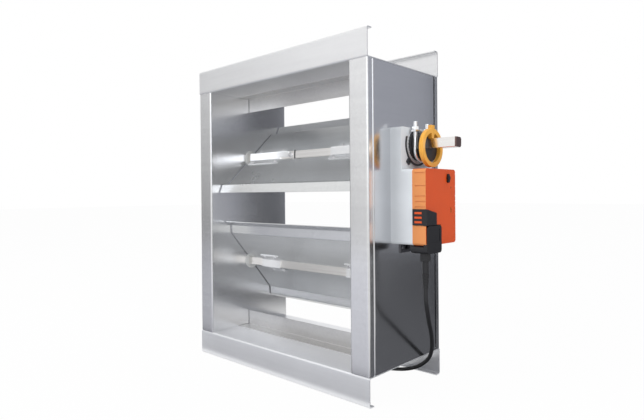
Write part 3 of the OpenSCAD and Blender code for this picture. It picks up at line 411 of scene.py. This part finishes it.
# %% The cards in their places
cards = [
    card("front_card", standing((-3.2, -0.9), (-1.45, -2.1), 1.7),
         (0.06, 0.46, 1.14, 0.20), (0.99, 0.99, 1.0)),
    card("front_floor_card", lying((-3.0, -1.6), (0.3, -1.6), (0.3, -0.2), (-1.4, -0.2)),
         (0.30, 1.20, 0.66, 0.22), (0.97, 0.98, 1.06)),
    card("near_floor_card", lying((-1.4, -0.2), (0.3, -0.2), (0.3, -0.11), (-1.4, -0.11)),
         (0.12, 0.18, 0.14, 0.12), (0.97, 0.98, 1.10)),
    card("right_front_card", standing((1.9, -0.7), (1.0, -1.7), 1.5, 0.45),
         (1.8, 1.8, 1.8, 1.8)),
    card("rear_card", standing((2.5, 1.0), (0.5, 2.8), 2.4),
         (0.42, 0.33, 0.36, 0.50), (0.96, 0.99, 1.10)),
    card("rear_flag", standing((0.14, 0.45), (0.37, 0.45), 0.9),
         (0.05, 0.04, 0.08, 0.10), (0.96, 0.99, 1.10)),
    card("side_floor_card", lying((0.17, -0.12), (0.42, 0.0), (1.8, 1.9), (-0.6, 2.3)),
         (0.12, 0.11, 0.05, 0.06), (0.98, 1.0, 1.08)),
]
print("cards:", [obj.name for obj in cards])

# %% [markdown]
# Hot-dip zinc has crystals a few millimetres across and soft cloudy patches where the sheet was
# rolled. A photograph of zinc could be laid on it, but a pattern made of noise runs on over
# every fold and needs no picture. It is made once, in a node group that every zinc surface
# shares with its own numbers. The group puts out only numbers that change over the surface; the
# shader itself stays in each material.


# %% Helpers for patterns
def socket(tree, name, way, kind="NodeSocketFloat", value=None):
    made = tree.interface.new_socket(name=name, in_out=way, socket_type=kind)
    if value is not None:
        made.default_value = value
    return made


def outputs_of(group):
    return [item.name for item in group.interface.items_tree if item.in_out == "OUTPUT"]


def object_place(tree):
    return tree.nodes.new("ShaderNodeTexCoord").outputs["Object"]


def stretched(tree, source, scale):
    node = tree.nodes.new("ShaderNodeMapping")
    node.inputs["Scale"].default_value = scale
    tree.links.new(source, node.inputs["Vector"])
    return node.outputs[0]


def noise(tree, vector, scale, detail=3, rough=0.5):
    node = tree.nodes.new("ShaderNodeTexNoise")
    node.inputs["Detail"].default_value = detail
    node.inputs["Roughness"].default_value = rough
    tree.links.new(vector, node.inputs["Vector"])
    if isinstance(scale, (int, float)):
        node.inputs["Scale"].default_value = scale
    else:
        tree.links.new(scale, node.inputs["Scale"])
    return node.outputs["Fac"]


# How many fit side by side in a metre
CRYSTALS = 260
CLOUDS = 7
print("zinc crystals are", round(1 / (CRYSTALS * MM), 1), "mm across, clouds",
      round(1 / (CLOUDS * MM)), "mm")

# %% A group for zinc sheet
CRYSTAL_SHARE = 0.12
CLOUD_DETAIL, CLOUD_ROUGHNESS = 4, 0.6
# Streaks lie level, so they change fast from top to bottom
STREAKS = (3, 3, 60)
STREAK_SCALE = 2.0
CRYSTAL_DULLNESS, CLOUD_DULLNESS = 0.3, 0.7


def zinc_group():
    tree = bpy.data.node_groups.new("zinc_surface", "ShaderNodeTree")
    socket(tree, "Crystals per metre", "INPUT", value=CRYSTALS)
    socket(tree, "Clouds per metre", "INPUT", value=CLOUDS)
    socket(tree, "Crystal share", "INPUT", value=CRYSTAL_SHARE)
    for name in ("Shade", "Dullness", "Height"):
        socket(tree, name, "OUTPUT")
    given = tree.nodes.new("NodeGroupInput").outputs
    result = tree.nodes.new("NodeGroupOutput").inputs
    place = object_place(tree)
    crystals = tree.nodes.new("ShaderNodeTexVoronoi")
    tree.links.new(place, crystals.inputs["Vector"])
    tree.links.new(given["Crystals per metre"], crystals.inputs["Scale"])
    parts = tree.nodes.new("ShaderNodeSeparateColor")
    tree.links.new(crystals.outputs["Color"], parts.inputs["Color"])
    clouds = noise(tree, place, given["Clouds per metre"], CLOUD_DETAIL, CLOUD_ROUGHNESS)
    streaks = noise(tree, stretched(tree, place, STREAKS), STREAK_SCALE)
    soft = math_node(tree, "MULTIPLY", math_node(tree, "ADD", clouds, streaks), 0.5)
    rest = math_node(tree, "SUBTRACT", 1, given["Crystal share"])
    shade = math_node(tree, "ADD", math_node(tree, "MULTIPLY", soft, rest),
                      math_node(tree, "MULTIPLY", parts.outputs[0], given["Crystal share"]))
    dullness = math_node(tree, "ADD",
                         math_node(tree, "MULTIPLY", parts.outputs[1], CRYSTAL_DULLNESS),
                         math_node(tree, "MULTIPLY", clouds, CLOUD_DULLNESS))
    tree.links.new(shade, result["Shade"])
    tree.links.new(dullness, result["Dullness"])
    tree.links.new(crystals.outputs["Distance"], result["Height"])
    return tree


ZINC = zinc_group()
print("group", ZINC.name, "puts out", outputs_of(ZINC))

# %% Helpers for materials
MIDDLE_HALF = (0.25, 0.75)


def between(tree, factor, low, high):
    """A colour between two others, which changes where most of the noise lies."""
    ramp = tree.nodes.new("ShaderNodeValToRGB")
    for end, position, colour in zip(ramp.color_ramp.elements, MIDDLE_HALF, (low, high)):
        end.position = position
        end.color = (*colour, 1)
    tree.links.new(factor, ramp.inputs["Fac"])
    return ramp.outputs["Color"]


def spread(tree, factor, low, high):
    """A number between two ends."""
    node = tree.nodes.new("ShaderNodeMapRange")
    node.inputs["To Min"].default_value = low
    node.inputs["To Max"].default_value = high
    tree.links.new(factor, node.inputs["Value"])
    return node.outputs["Result"]


def principled(tree, metallic):
    shader = tree.nodes.new("ShaderNodeBsdfPrincipled")
    shader.inputs["Metallic"].default_value = metallic
    output = tree.nodes.new("ShaderNodeOutputMaterial")
    tree.links.new(shader.outputs[0], output.inputs["Surface"])
    return shader


def bumped(tree, shader, height, depth, strength):
    """A relief of some depth in millimetres, which only bends the light."""
    bump = tree.nodes.new("ShaderNodeBump")
    bump.inputs["Strength"].default_value = strength
    bump.inputs["Distance"].default_value = depth * MM
    tree.links.new(height, bump.inputs["Height"])
    tree.links.new(bump.outputs["Normal"], shader.inputs["Normal"])


print("colours change while the noise goes from", MIDDLE_HALF[0], "to", MIDDLE_HALF[1])

# %% [markdown]
# The damper's sheets aren't all alike: the rails are pale and a little dull, the jambs and the
# blades shine more, and the cover on the side is smooth enough to mirror the actuator. One
# material for all would be quicker, but each sheet then couldn't have its own grey. So one
# helper makes them, with two greys, two roughnesses, and how much the crystals show.

# %% Zinc materials
ZINC_DEPTH = 0.2
SMALL_CRYSTALS = 900


def zinc(name, low, high, rough, crystals=CRYSTALS, share=CRYSTAL_SHARE, clouds=CLOUDS,
         bump=0.05, metal=0.94):
    material, tree = new_material(name)
    group = tree.nodes.new("ShaderNodeGroup")
    group.node_tree = ZINC
    group.inputs["Crystals per metre"].default_value = crystals
    group.inputs["Clouds per metre"].default_value = clouds
    group.inputs["Crystal share"].default_value = share
    shader = principled(tree, metal)
    tree.links.new(between(tree, group.outputs["Shade"], low, high),
                   shader.inputs["Base Color"])
    tree.links.new(spread(tree, group.outputs["Dullness"], *rough), shader.inputs["Roughness"])
    bumped(tree, shader, group.outputs["Height"], ZINC_DEPTH, bump)
    return material


RAIL_ZINC = zinc("rail_zinc", (0.80, 0.80, 0.81), (0.90, 0.905, 0.91), (0.27, 0.36),
                 share=0.05, bump=0.02, metal=0.9)
SILL_ZINC = zinc("sill_zinc", (0.82, 0.825, 0.845), (0.91, 0.915, 0.935), (0.26, 0.36),
                 share=0.06, bump=0.03, metal=0.60)
JAMB_ZINC = zinc("jamb_zinc", (0.80, 0.80, 0.81), (0.90, 0.905, 0.91), (0.18, 0.28), metal=1)
STOP_ZINC = zinc("stop_zinc", (0.62, 0.615, 0.61), (0.74, 0.735, 0.73), (0.26, 0.38),
                 metal=0.97)
BLADE_ZINC = zinc("blade_zinc", (0.72, 0.73, 0.735), (0.84, 0.85, 0.85), (0.20, 0.30),
                  clouds=9, metal=1)
COVER_ZINC = zinc("cover_zinc", (0.74, 0.745, 0.76), (0.80, 0.805, 0.82), (0.15, 0.21),
                  share=0.08, clouds=5, bump=0.02, metal=1)
BRIGHT_ZINC = zinc("bright_zinc", (0.90, 0.91, 0.92), (0.97, 0.975, 0.98), (0.16, 0.26),
                   SMALL_CRYSTALS, metal=0.85)
# Painted shade: near black zinc that stands in for the shade under the actuator's base
SHADE_PAINTED_ZINC = zinc("shade_painted_zinc", (0.10, 0.10, 0.11), (0.16, 0.16, 0.17), (0.25, 0.35),
                 SMALL_CRYSTALS)
print("zinc finishes:", [m.name for m in bpy.data.materials if "zinc" in m.name])

# %% [markdown]
# Drawn steel carries fine lines along its length. They could be cut as grooves, but they are too
# fine for that, so noise is stretched along the shaft. The upper shaft is sawn off at its free
# end, and its last few millimetres are painted dark brown. A test on the place along the shaft
# gives it that second colour.

# %% Helpers for a second colour
# Where the Mix node keeps its sockets for colours
MIX_FACTOR, MIX_FIRST, MIX_SECOND, MIX_RESULT = 0, 6, 7, 2
SAWN_X = 254.5


def past(tree, vector, axis, limit):
    """1 where one part of a vector is over the limit, else 0."""
    parts = tree.nodes.new("ShaderNodeSeparateXYZ")
    tree.links.new(vector, parts.inputs["Vector"])
    return math_node(tree, "GREATER_THAN", parts.outputs[axis], limit)


def second_colour(tree, factor, colour, other):
    """The other colour where the factor is 1."""
    mix = tree.nodes.new("ShaderNodeMix")
    mix.data_type = "RGBA"
    mix.inputs[MIX_SECOND].default_value = (*other, 1)
    tree.links.new(factor, mix.inputs[MIX_FACTOR])
    tree.links.new(colour, mix.inputs[MIX_FIRST])
    return mix.outputs[MIX_RESULT]


dark_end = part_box("upper_shaft")[1].x / MM - SAWN_X
print("the upper shaft is dark over its last", round(dark_end, 1), "mm")

# %% Drawn steel and brass
LENGTHWISE = (6, 400, 400)
EVEN = (300, 300, 300)
LINE_SCALE, LINE_DETAIL = 1.0, 2
STEEL_DEPTH = 0.1
STEEL_BUMP = 0.1
DARK_END_COLOUR = (0.20, 0.13, 0.12)
PALE_STEEL = (0.88, 0.86, 0.84), (0.97, 0.96, 0.94), (0.14, 0.26)


def drawn_metal(name, low, high, rough, lines_run=LENGTHWISE, sawn_at=None):
    material, tree = new_material(name)
    place = object_place(tree)
    lines = noise(tree, stretched(tree, place, lines_run), LINE_SCALE, LINE_DETAIL)
    shader = principled(tree, 1)
    colour = between(tree, lines, low, high)
    if sawn_at:
        colour = second_colour(tree, past(tree, place, "X", sawn_at * MM), colour, DARK_END_COLOUR)
    tree.links.new(colour, shader.inputs["Base Color"])
    tree.links.new(spread(tree, lines, *rough), shader.inputs["Roughness"])
    bumped(tree, shader, lines, STEEL_DEPTH, STEEL_BUMP)
    return material


SHAFT_STEEL = drawn_metal("shaft_steel", *PALE_STEEL)
DRIVE_STEEL = drawn_metal("drive_steel", *PALE_STEEL, sawn_at=SAWN_X)
SCREW_STEEL = drawn_metal("screw_steel", (0.66, 0.66, 0.67), (0.82, 0.82, 0.83), (0.2, 0.34),
                          EVEN)
BRASS = drawn_metal("gear_brass", (0.60, 0.45, 0.18), (0.74, 0.58, 0.27), (0.2, 0.34), EVEN)
print("metals:", [m.name for m in (SHAFT_STEEL, DRIVE_STEEL, SCREW_STEEL, BRASS)])

# %% [markdown]
# Moulded plastic has a fine even grain from its steel mould. The grain is a second shared group,
# so that every plastic has its own colour and its own gloss but the same skin. The hood's front
# is painted a paler orange than the face beside it: a painted sheen, for the broad white gloss
# that the front light gives there. The two could be separate pieces, but the way that a surface
# faces on the damper tells them apart, so the front takes the sheen as a second colour.

# %% A group for moulded grain
GRAINS = 2400
GRAIN_DETAIL = 2
MOTTLE = 18


def grain_group():
    tree = bpy.data.node_groups.new("moulded_grain", "ShaderNodeTree")
    socket(tree, "Grains per metre", "INPUT", value=GRAINS)
    for name in ("Shade", "Height"):
        socket(tree, name, "OUTPUT")
    given = tree.nodes.new("NodeGroupInput").outputs
    result = tree.nodes.new("NodeGroupOutput").inputs
    place = object_place(tree)
    grains = noise(tree, place, given["Grains per metre"], GRAIN_DETAIL)
    tree.links.new(grains, result["Height"])
    tree.links.new(noise(tree, place, MOTTLE), result["Shade"])
    return tree


GRAIN = grain_group()
print("group", GRAIN.name, "puts out", outputs_of(GRAIN))

# %% Plastics
PLASTIC_DEPTH = 0.1
DARKER, LIGHTER = 0.93, 1.04
GLOSSIER, DULLER = -0.04, 0.06
FACES_FRONT = 0.5
BACK_TO_FRONT = (1, -1, 1)
ORANGE = (0.68, 0.080, 0.008)
# Painted sheen: a paler orange that stands in for the white gloss on the hood's front
SHEEN_PAINTED_ORANGE = (0.70, 0.26, 0.08)


def tinted(colour, factor):
    return tuple(min(1, c * factor) for c in colour)


def facing_front(tree):
    """1 where a surface faces the front of the damper, which is -Y, else 0."""
    facing = tree.nodes.new("ShaderNodeTexCoord").outputs["Normal"]
    return past(tree, stretched(tree, facing, BACK_TO_FRONT), "Y", FACES_FRONT)


def plastic(name, colour, rough, grains=GRAINS, bump=0.25, coat=0.0, front=None):
    material, tree = new_material(name)
    group = tree.nodes.new("ShaderNodeGroup")
    group.node_tree = GRAIN
    group.inputs["Grains per metre"].default_value = grains
    mottle = group.outputs["Shade"]
    shader = principled(tree, 0)
    shader.inputs["Coat Weight"].default_value = coat
    shown = between(tree, mottle, tinted(colour, DARKER), tinted(colour, LIGHTER))
    # A front colour given here is a painted sheen, not the plastic's own colour
    if front:
        shown = second_colour(tree, facing_front(tree), shown, front)
    tree.links.new(shown, shader.inputs["Base Color"])
    tree.links.new(spread(tree, mottle, rough + GLOSSIER, rough + DULLER),
                   shader.inputs["Roughness"])
    bumped(tree, shader, group.outputs["Height"], PLASTIC_DEPTH, bump)
    return material


GREY_PLASTIC = plastic("grey_plastic", (0.72, 0.745, 0.77), 0.42)
# The hood's front gets the painted sheen
ORANGE_PLASTIC = plastic("orange_plastic", ORANGE, 0.42, front=SHEEN_PAINTED_ORANGE)
BAR_ORANGE = plastic("bar_orange", ORANGE, 0.42)
AMBER_PLASTIC = plastic("amber_plastic", (0.86, 0.42, 0.05), 0.3, coat=0.2)
BLACK_PLASTIC = plastic("black_plastic", (0.010, 0.010, 0.012), 0.36)
HUB_PLASTIC = plastic("hub_plastic", (0.030, 0.031, 0.036), 0.34)
WHITE_PLASTIC = plastic("bush_plastic", (0.82, 0.82, 0.80), 0.4)
LENS_PLASTIC = plastic("lens_plastic", (0.34, 0.07, 0.02), 0.2, coat=0.5)
BOARD_GREEN = plastic("board_green", (0.02, 0.14, 0.05), 0.35)
CABLE_BLACK = plastic("cable_black", (0.014, 0.014, 0.016), 0.48, grains=1600, bump=0.3)
CORE_FINISHES = (plastic("core_blue", (0.03, 0.07, 0.35), 0.4),
                 plastic("core_brown", (0.16, 0.06, 0.02), 0.4),
                 plastic("core_white", (0.75, 0.75, 0.72), 0.4))
print("materials:", len(bpy.data.materials))

# %% [markdown]
# Most built pieces are folded, sawn or punched, and already have the shape of the real ones.
# They could be modelled again here, but that would only copy them, so they keep their shape and
# get a finish. One table says which piece is made of what.

# %% Finish of each built piece
FINISH = {
    RAIL_ZINC: ["top_rail"],
    SILL_ZINC: ["bottom_rail"],
    JAMB_ZINC: ["left_jamb", "right_jamb"],
    STOP_ZINC: ["top_stop", "bottom_stop"],
    BLADE_ZINC: ["upper_blade", "lower_blade"],
    COVER_ZINC: ["linkage_cover"],
    BRIGHT_ZINC: ["upper_straps", "lower_straps", "clamp_bolt", "tie_rod", "gear_plate"],
    DRIVE_STEEL: ["upper_shaft"],
    SHAFT_STEEL: ["lower_shaft", "motor"],
    SCREW_STEEL: ["cover_screws", "upper_crank", "lower_crank", "upper_shaft_clip",
                  "hood_screws", "lower_shaft_clip", "gear_axles", "first_gear", "bar_screw"],
    BRASS: ["second_gear", "motor_pinion"],
    WHITE_PLASTIC: ["output_gear"],
    # Painted shade: the bar clip is black to stand in for the shade in the slit at the drive bar
    BLACK_PLASTIC: ["bar_clip"],
    BOARD_GREEN: ["circuit_board"],
}


def paint(obj, *materials):
    obj.data.materials.clear()
    for material in materials:
        obj.data.materials.append(material)


for material, names in FINISH.items():
    for name in names:
        paint(NODES[name], material)
print("finished", sum(len(names) for names in FINISH.values()), "of", len(NODES), "pieces")

# %% [markdown]
# Moulded and pressed pieces have no knife edges: light catches a thin round along every one. The
# round could be drawn in the part itself, at the cost of many small faces there. The built
# pieces are loose triangles, so each is copied, its points are merged and its flat faces joined
# up, and a Bevel modifier rounds every edge that turns by more than 40 degrees. The copy then
# stands for the built piece, in the same place.

# %% A clean copy of a built piece
SAME_POINT = 0.01 * MM
SAME_PLANE = math.radians(0.5)


def stands_for(obj, *nodes):
    """The piece rides on its nodes' body and is shown in their place."""
    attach(obj, body_of(NODES[nodes[0]])[0])
    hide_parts(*nodes)


def merged_copy(node):
    mesh = bpy.data.meshes.new(node + "_form")
    form = bmesh.new()
    form.from_mesh(NODES[node].data)
    bmesh.ops.remove_doubles(form, verts=form.verts, dist=SAME_POINT)
    bmesh.ops.dissolve_limit(form, angle_limit=SAME_PLANE, verts=form.verts, edges=form.edges)
    for face in form.faces:
        face.smooth = True
        face.material_index = 0
    form.to_mesh(mesh)
    form.free()
    mesh.attributes.remove(mesh.attributes["custom_normal"])
    return mesh


# %% Rounded pieces
ROUND_STEPS = 3
SHARP_TURN = math.radians(40)


def rounded(node, radius, *materials):
    obj = add_object(node + "_form", merged_copy(node))
    paint(obj, *materials)
    bevel = obj.modifiers.new("round_edges", "BEVEL")
    bevel.width = radius * MM
    bevel.segments = ROUND_STEPS
    bevel.limit_method = "ANGLE"
    bevel.angle_limit = SHARP_TURN
    bevel.use_clamp_overlap = True
    bevel.harden_normals = True
    stands_for(obj, node)
    return obj


ROUNDED = {
    GREY_PLASTIC: {"actuator_base": 1.0},
    ORANGE_PLASTIC: {"actuator_hood": 1.4},
    AMBER_PLASTIC: {"position_ring": 0.8},
    WHITE_PLASTIC: {"upper_bushes": 0.7, "lower_bushes": 0.7},
    BLACK_PLASTIC: {"direction_knob": 0.4, "connector_plug": 0.9, "cable_gland": 0.6,
                    "strain_relief": 0.4},
    HUB_PLASTIC: {"clamp_hub": 0.4, "clamp_jaw": 0.4, "ring_carrier": 0.5, "end_stops": 0.3},
    LENS_PLASTIC: {"status_lens": 0.4},
    # The torque bracket and its pin are painted near black, as painted shade under the base
    SHADE_PAINTED_ZINC: {"torque_bracket": 0.3, "torque_pin": 0.3},
    BRIGHT_ZINC: {"clamp_bridge": 0.4, "clamp_nuts": 0.3},
}
FORMS = {node: rounded(node, radius, material)
         for material, radii in ROUNDED.items() for node, radius in radii.items()}
print("rounded:", len(FORMS))

# %% [markdown]
# The black release button carries three raised orange bars. They could be pieces of their own,
# but they are moulded on, so the faces that reach furthest to the front take a second material.

# %% The release button and its bars
BUTTON_ROUND = 0.6
BAR_SLACK = 0.02

button = rounded("release_button", BUTTON_ROUND, BLACK_PLASTIC, BAR_ORANGE)
bar_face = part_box("release_button")[0].y + BAR_SLACK * MM
bars = [face for face in button.data.polygons
        if min(button.data.vertices[i].co.y for i in face.vertices) < bar_face]
for face in bars:
    face.material_index = 1
print("orange faces on the button:", len(bars))

# %% [markdown]
# Sixteen pop rivets hold the straps to the blades. Each has a domed head with the stub of its
# mandrel in the middle, and the same head behind the sheet. All could be modelled by hand, but
# they are alike. So one head is turned from a profile, and Geometry Nodes put a copy on every
# point of a small mesh, facing along the vector that each point carries. That is one tree for
# all the rivets, with the head's width and height as inputs.

# %% A head turned from a profile
RIVET_PROFILE = [(0, 0), (0.5, 0), (0.5, 0.13), (0.47, 0.34), (0.40, 0.58), (0.30, 0.80),
                 (0.22, 0.90), (0.19, 0.74), (0.15, 0.72), (0.13, 0.94), (0, 0.98)]
HEAD_SIDES = 20
CREASE = math.radians(50)


def turned(name, profile, sides):
    """A closed form turned from (radius, height) pairs that start and end on the axis."""
    points, faces = [(0, 0, profile[0][1])], []
    angles = [2 * math.pi * k / sides for k in range(sides)]
    for radius, height in profile[1:-1]:
        points += [(radius * math.cos(angle), radius * math.sin(angle), height)
                   for angle in angles]
    points.append((0, 0, profile[-1][1]))
    rings = len(profile) - 2
    for k in range(sides):
        after = (k + 1) % sides
        faces.append((0, 1 + after, 1 + k))
        for ring in range(rings - 1):
            low, high = 1 + ring * sides, 1 + (ring + 1) * sides
            faces.append((low + k, low + after, high + after, high + k))
        last = 1 + (rings - 1) * sides
        faces.append((last + k, last + after, len(points) - 1))
    mesh = mesh_from(name, points, faces)
    for face in mesh.polygons:
        face.use_smooth = True
    mesh.set_sharp_from_angle(angle=CREASE)
    return add_object(name, mesh)


head = turned("rivet_head", RIVET_PROFILE, HEAD_SIDES)
print("one rivet head has", len(head.data.polygons), "faces")

# %% Helpers for shapes on points
FACING = "facing"


def facing_rotation(tree):
    """The rotation that turns a shape's own Z along the vector on each point."""
    facing = tree.nodes.new("GeometryNodeInputNamedAttribute")
    facing.data_type = "FLOAT_VECTOR"
    facing.inputs["Name"].default_value = FACING
    turn = tree.nodes.new("FunctionNodeAlignRotationToVector")
    turn.axis = "Z"
    tree.links.new(facing.outputs["Attribute"], turn.inputs["Vector"])
    return turn.outputs["Rotation"]


def end_on_points(tree, given, shape, result, size=None):
    """Ends a tree: a copy of a shape on every point, made real and given its finish."""
    place = tree.nodes.new("GeometryNodeInstanceOnPoints")
    real = tree.nodes.new("GeometryNodeRealizeInstances")
    finish = tree.nodes.new("GeometryNodeSetMaterial")
    links = tree.links
    links.new(given["Points"], place.inputs["Points"])
    links.new(shape, place.inputs["Instance"])
    links.new(facing_rotation(tree), place.inputs["Rotation"])
    if size is not None:
        links.new(size, place.inputs["Scale"])
    links.new(place.outputs["Instances"], real.inputs["Geometry"])
    links.new(real.outputs["Geometry"], finish.inputs["Geometry"])
    links.new(given["Finish"], finish.inputs["Material"])
    links.new(finish.outputs["Geometry"], result)


def points_facing(name, spots):
    """A mesh of bare points, each with the direction that its shape faces."""
    obj = add_object(name, mesh_from(name, [spot for spot, _ in spots], []))
    facing = obj.data.attributes.new(FACING, "FLOAT_VECTOR", "POINT")
    for item, (_, way) in zip(facing.data, spots):
        item.vector = way
    return obj


def grown(obj, tree, **inputs):
    """Runs a tree on an object with the inputs given, and keeps the result as a plain mesh."""
    modifier = obj.modifiers.new(tree.name, "NODES")
    modifier.node_group = tree
    ids = {s.name: s.identifier for s in tree.interface.items_tree if s.in_out == "INPUT"}
    for name, value in inputs.items():
        modifier[ids[name.replace("_", " ")]] = value
    shown = obj.evaluated_get(bpy.context.evaluated_depsgraph_get())
    mesh = bpy.data.meshes.new_from_object(shown)
    obj.modifiers.remove(modifier)
    obj.data = mesh
    print(obj.name, "has", len(mesh.polygons), "faces")
    return obj


print("each point carries its direction as", FACING)


# %% The tree that sets heads on points
def fastener_tree():
    tree = bpy.data.node_groups.new("heads_on_points", "GeometryNodeTree")
    socket(tree, "Points", "INPUT", "NodeSocketGeometry")
    socket(tree, "Head", "INPUT", "NodeSocketObject")
    for name in ("Head width", "Head height"):
        socket(tree, name, "INPUT")
    socket(tree, "Finish", "INPUT", "NodeSocketMaterial")
    socket(tree, "Heads", "OUTPUT", "NodeSocketGeometry")
    given = tree.nodes.new("NodeGroupInput").outputs
    result = tree.nodes.new("NodeGroupOutput").inputs
    shape = tree.nodes.new("GeometryNodeObjectInfo")
    size = tree.nodes.new("ShaderNodeCombineXYZ")
    tree.links.new(given["Head"], shape.inputs["Object"])
    for axis, name in zip("XYZ", ("Head width", "Head width", "Head height")):
        tree.links.new(given[name], size.inputs[axis])
    end_on_points(tree, given, shape.outputs["Geometry"], result["Heads"],
                  size.outputs["Vector"])
    return tree


HEADS_ON_POINTS = fastener_tree()
print("tree", HEADS_ON_POINTS.name, "puts out", outputs_of(HEADS_ON_POINTS))

# %% Rivets on both blades
HEAD_WIDTH = 7.6
HEAD_HEIGHT = 1.9
RIVET_Z = 16.57
RIVET_INSET = 11
# Where each strap starts along its blade, and how long it is
STRAPS = {"upper": [(-164, 90), (58, 86)], "lower": [(-129, 52), (92, 52)]}
SWING = {"upper": math.radians(-47), "lower": math.radians(40)}
AXIS_Z = {"upper": UPPER_Z, "lower": LOWER_Z}
CASING_X = -46
STRAP_FACE = -2.4
BLADE_BACK = 0.6


def rivet_spots(blade, face, way):
    """Rivet places on one face of a blade, which is drawn shut and then swung about its axis."""
    swing = Matrix.Rotation(SWING[blade], 3, "X")
    spots = []
    for start, length in STRAPS[blade]:
        for x in (start + RIVET_INSET, start + length - RIVET_INSET):
            for z in (-RIVET_Z, RIVET_Z):
                at = swing @ mm(0, face, z) + Vector((0, 0, AXIS_Z[blade]))
                spots.append((at + mm(CASING_X + x, 0, 0), swing @ Vector((0, way, 0))))
    return spots


for blade in STRAPS:
    rivets = points_facing(blade + "_rivet_heads",
                           rivet_spots(blade, STRAP_FACE, -1) + rivet_spots(blade, BLADE_BACK, 1))
    grown(rivets, HEADS_ON_POINTS, Head=head, Head_width=HEAD_WIDTH * MM,
          Head_height=HEAD_HEIGHT * MM, Finish=SCREW_STEEL)
    stands_for(rivets, blade + "_rivets")
bpy.data.objects.remove(head)

# %% [markdown]
# The clamp's bolt is bent from rod, and its two legs are threaded for the nuts. A thread is a
# ridge that climbs round the leg. Rings set one over another would be easier to make, but a
# close look shows that they don't climb. So a second tree winds a spiral with a given pitch,
# sweeps a small round along it and sets one on each leg.

# %% The thread's tree
STEPS_A_TURN = 18
RIDGE_SIDES = 5


def thread_tree():
    tree = bpy.data.node_groups.new("thread_on_points", "GeometryNodeTree")
    socket(tree, "Points", "INPUT", "NodeSocketGeometry")
    for name in ("Turns", "Length", "Radius", "Ridge"):
        socket(tree, name, "INPUT")
    socket(tree, "Finish", "INPUT", "NodeSocketMaterial")
    socket(tree, "Threads", "OUTPUT", "NodeSocketGeometry")
    given = tree.nodes.new("NodeGroupInput").outputs
    result = tree.nodes.new("NodeGroupOutput").inputs
    winding = tree.nodes.new("GeometryNodeCurveSpiral")
    winding.inputs["Resolution"].default_value = STEPS_A_TURN
    for name, slot in (("Turns", "Rotations"), ("Length", "Height"),
                       ("Radius", "Start Radius"), ("Radius", "End Radius")):
        tree.links.new(given[name], winding.inputs[slot])
    ridge = tree.nodes.new("GeometryNodeCurvePrimitiveCircle")
    ridge.inputs["Resolution"].default_value = RIDGE_SIDES
    tree.links.new(given["Ridge"], ridge.inputs["Radius"])
    sweep = tree.nodes.new("GeometryNodeCurveToMesh")
    sweep.inputs["Fill Caps"].default_value = True
    tree.links.new(winding.outputs["Curve"], sweep.inputs["Curve"])
    tree.links.new(ridge.outputs["Curve"], sweep.inputs["Profile Curve"])
    end_on_points(tree, given, sweep.outputs["Mesh"], result["Threads"])
    return tree


THREAD_ON_POINTS = thread_tree()
print("tree", THREAD_ON_POINTS.name, "puts out", outputs_of(THREAD_ON_POINTS))

# %% Threads on the clamp's bolt
LEG_Y = 17
LEG_TOP = 34
THREAD_LENGTH = 24
THREAD_PITCH = 1
THREAD_SHY = 0.6
THREAD_R = 2.95
RIDGE_R = 0.33
CLAMP_TURN = math.radians(-2)
BOLT_X = centre_of("clamp_nuts").x / MM
lean = Matrix.Rotation(CLAMP_TURN, 3, "X")
leg_foot = LEG_TOP - THREAD_LENGTH - THREAD_SHY
legs = [(lean @ mm(0, side * LEG_Y, leg_foot) + mm(BOLT_X, 0, UPPER_Z / MM),
         lean @ Vector((0, 0, 1))) for side in (-1, 1)]
threads = grown(points_facing("clamp_bolt_threads", legs), THREAD_ON_POINTS,
                Turns=THREAD_LENGTH / THREAD_PITCH, Length=THREAD_LENGTH * MM,
                Radius=THREAD_R * MM, Ridge=RIDGE_R * MM, Finish=BRIGHT_ZINC)
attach(threads, UPPER)

# %% [markdown]
# The lead was drawn first, because the rest had to leave room for it. Now it gets its rubber and
# rides on the casing.

lead.data.materials.append(CABLE_BLACK)
for core, material in zip(cores, CORE_FINISHES):
    core.data.materials.append(material)
for obj in (*cores, lead):
    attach(obj, CASING)
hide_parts("lead", "lead_coil")
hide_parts("lead_cores")
print("lead declared,", len(lead_path), "points")
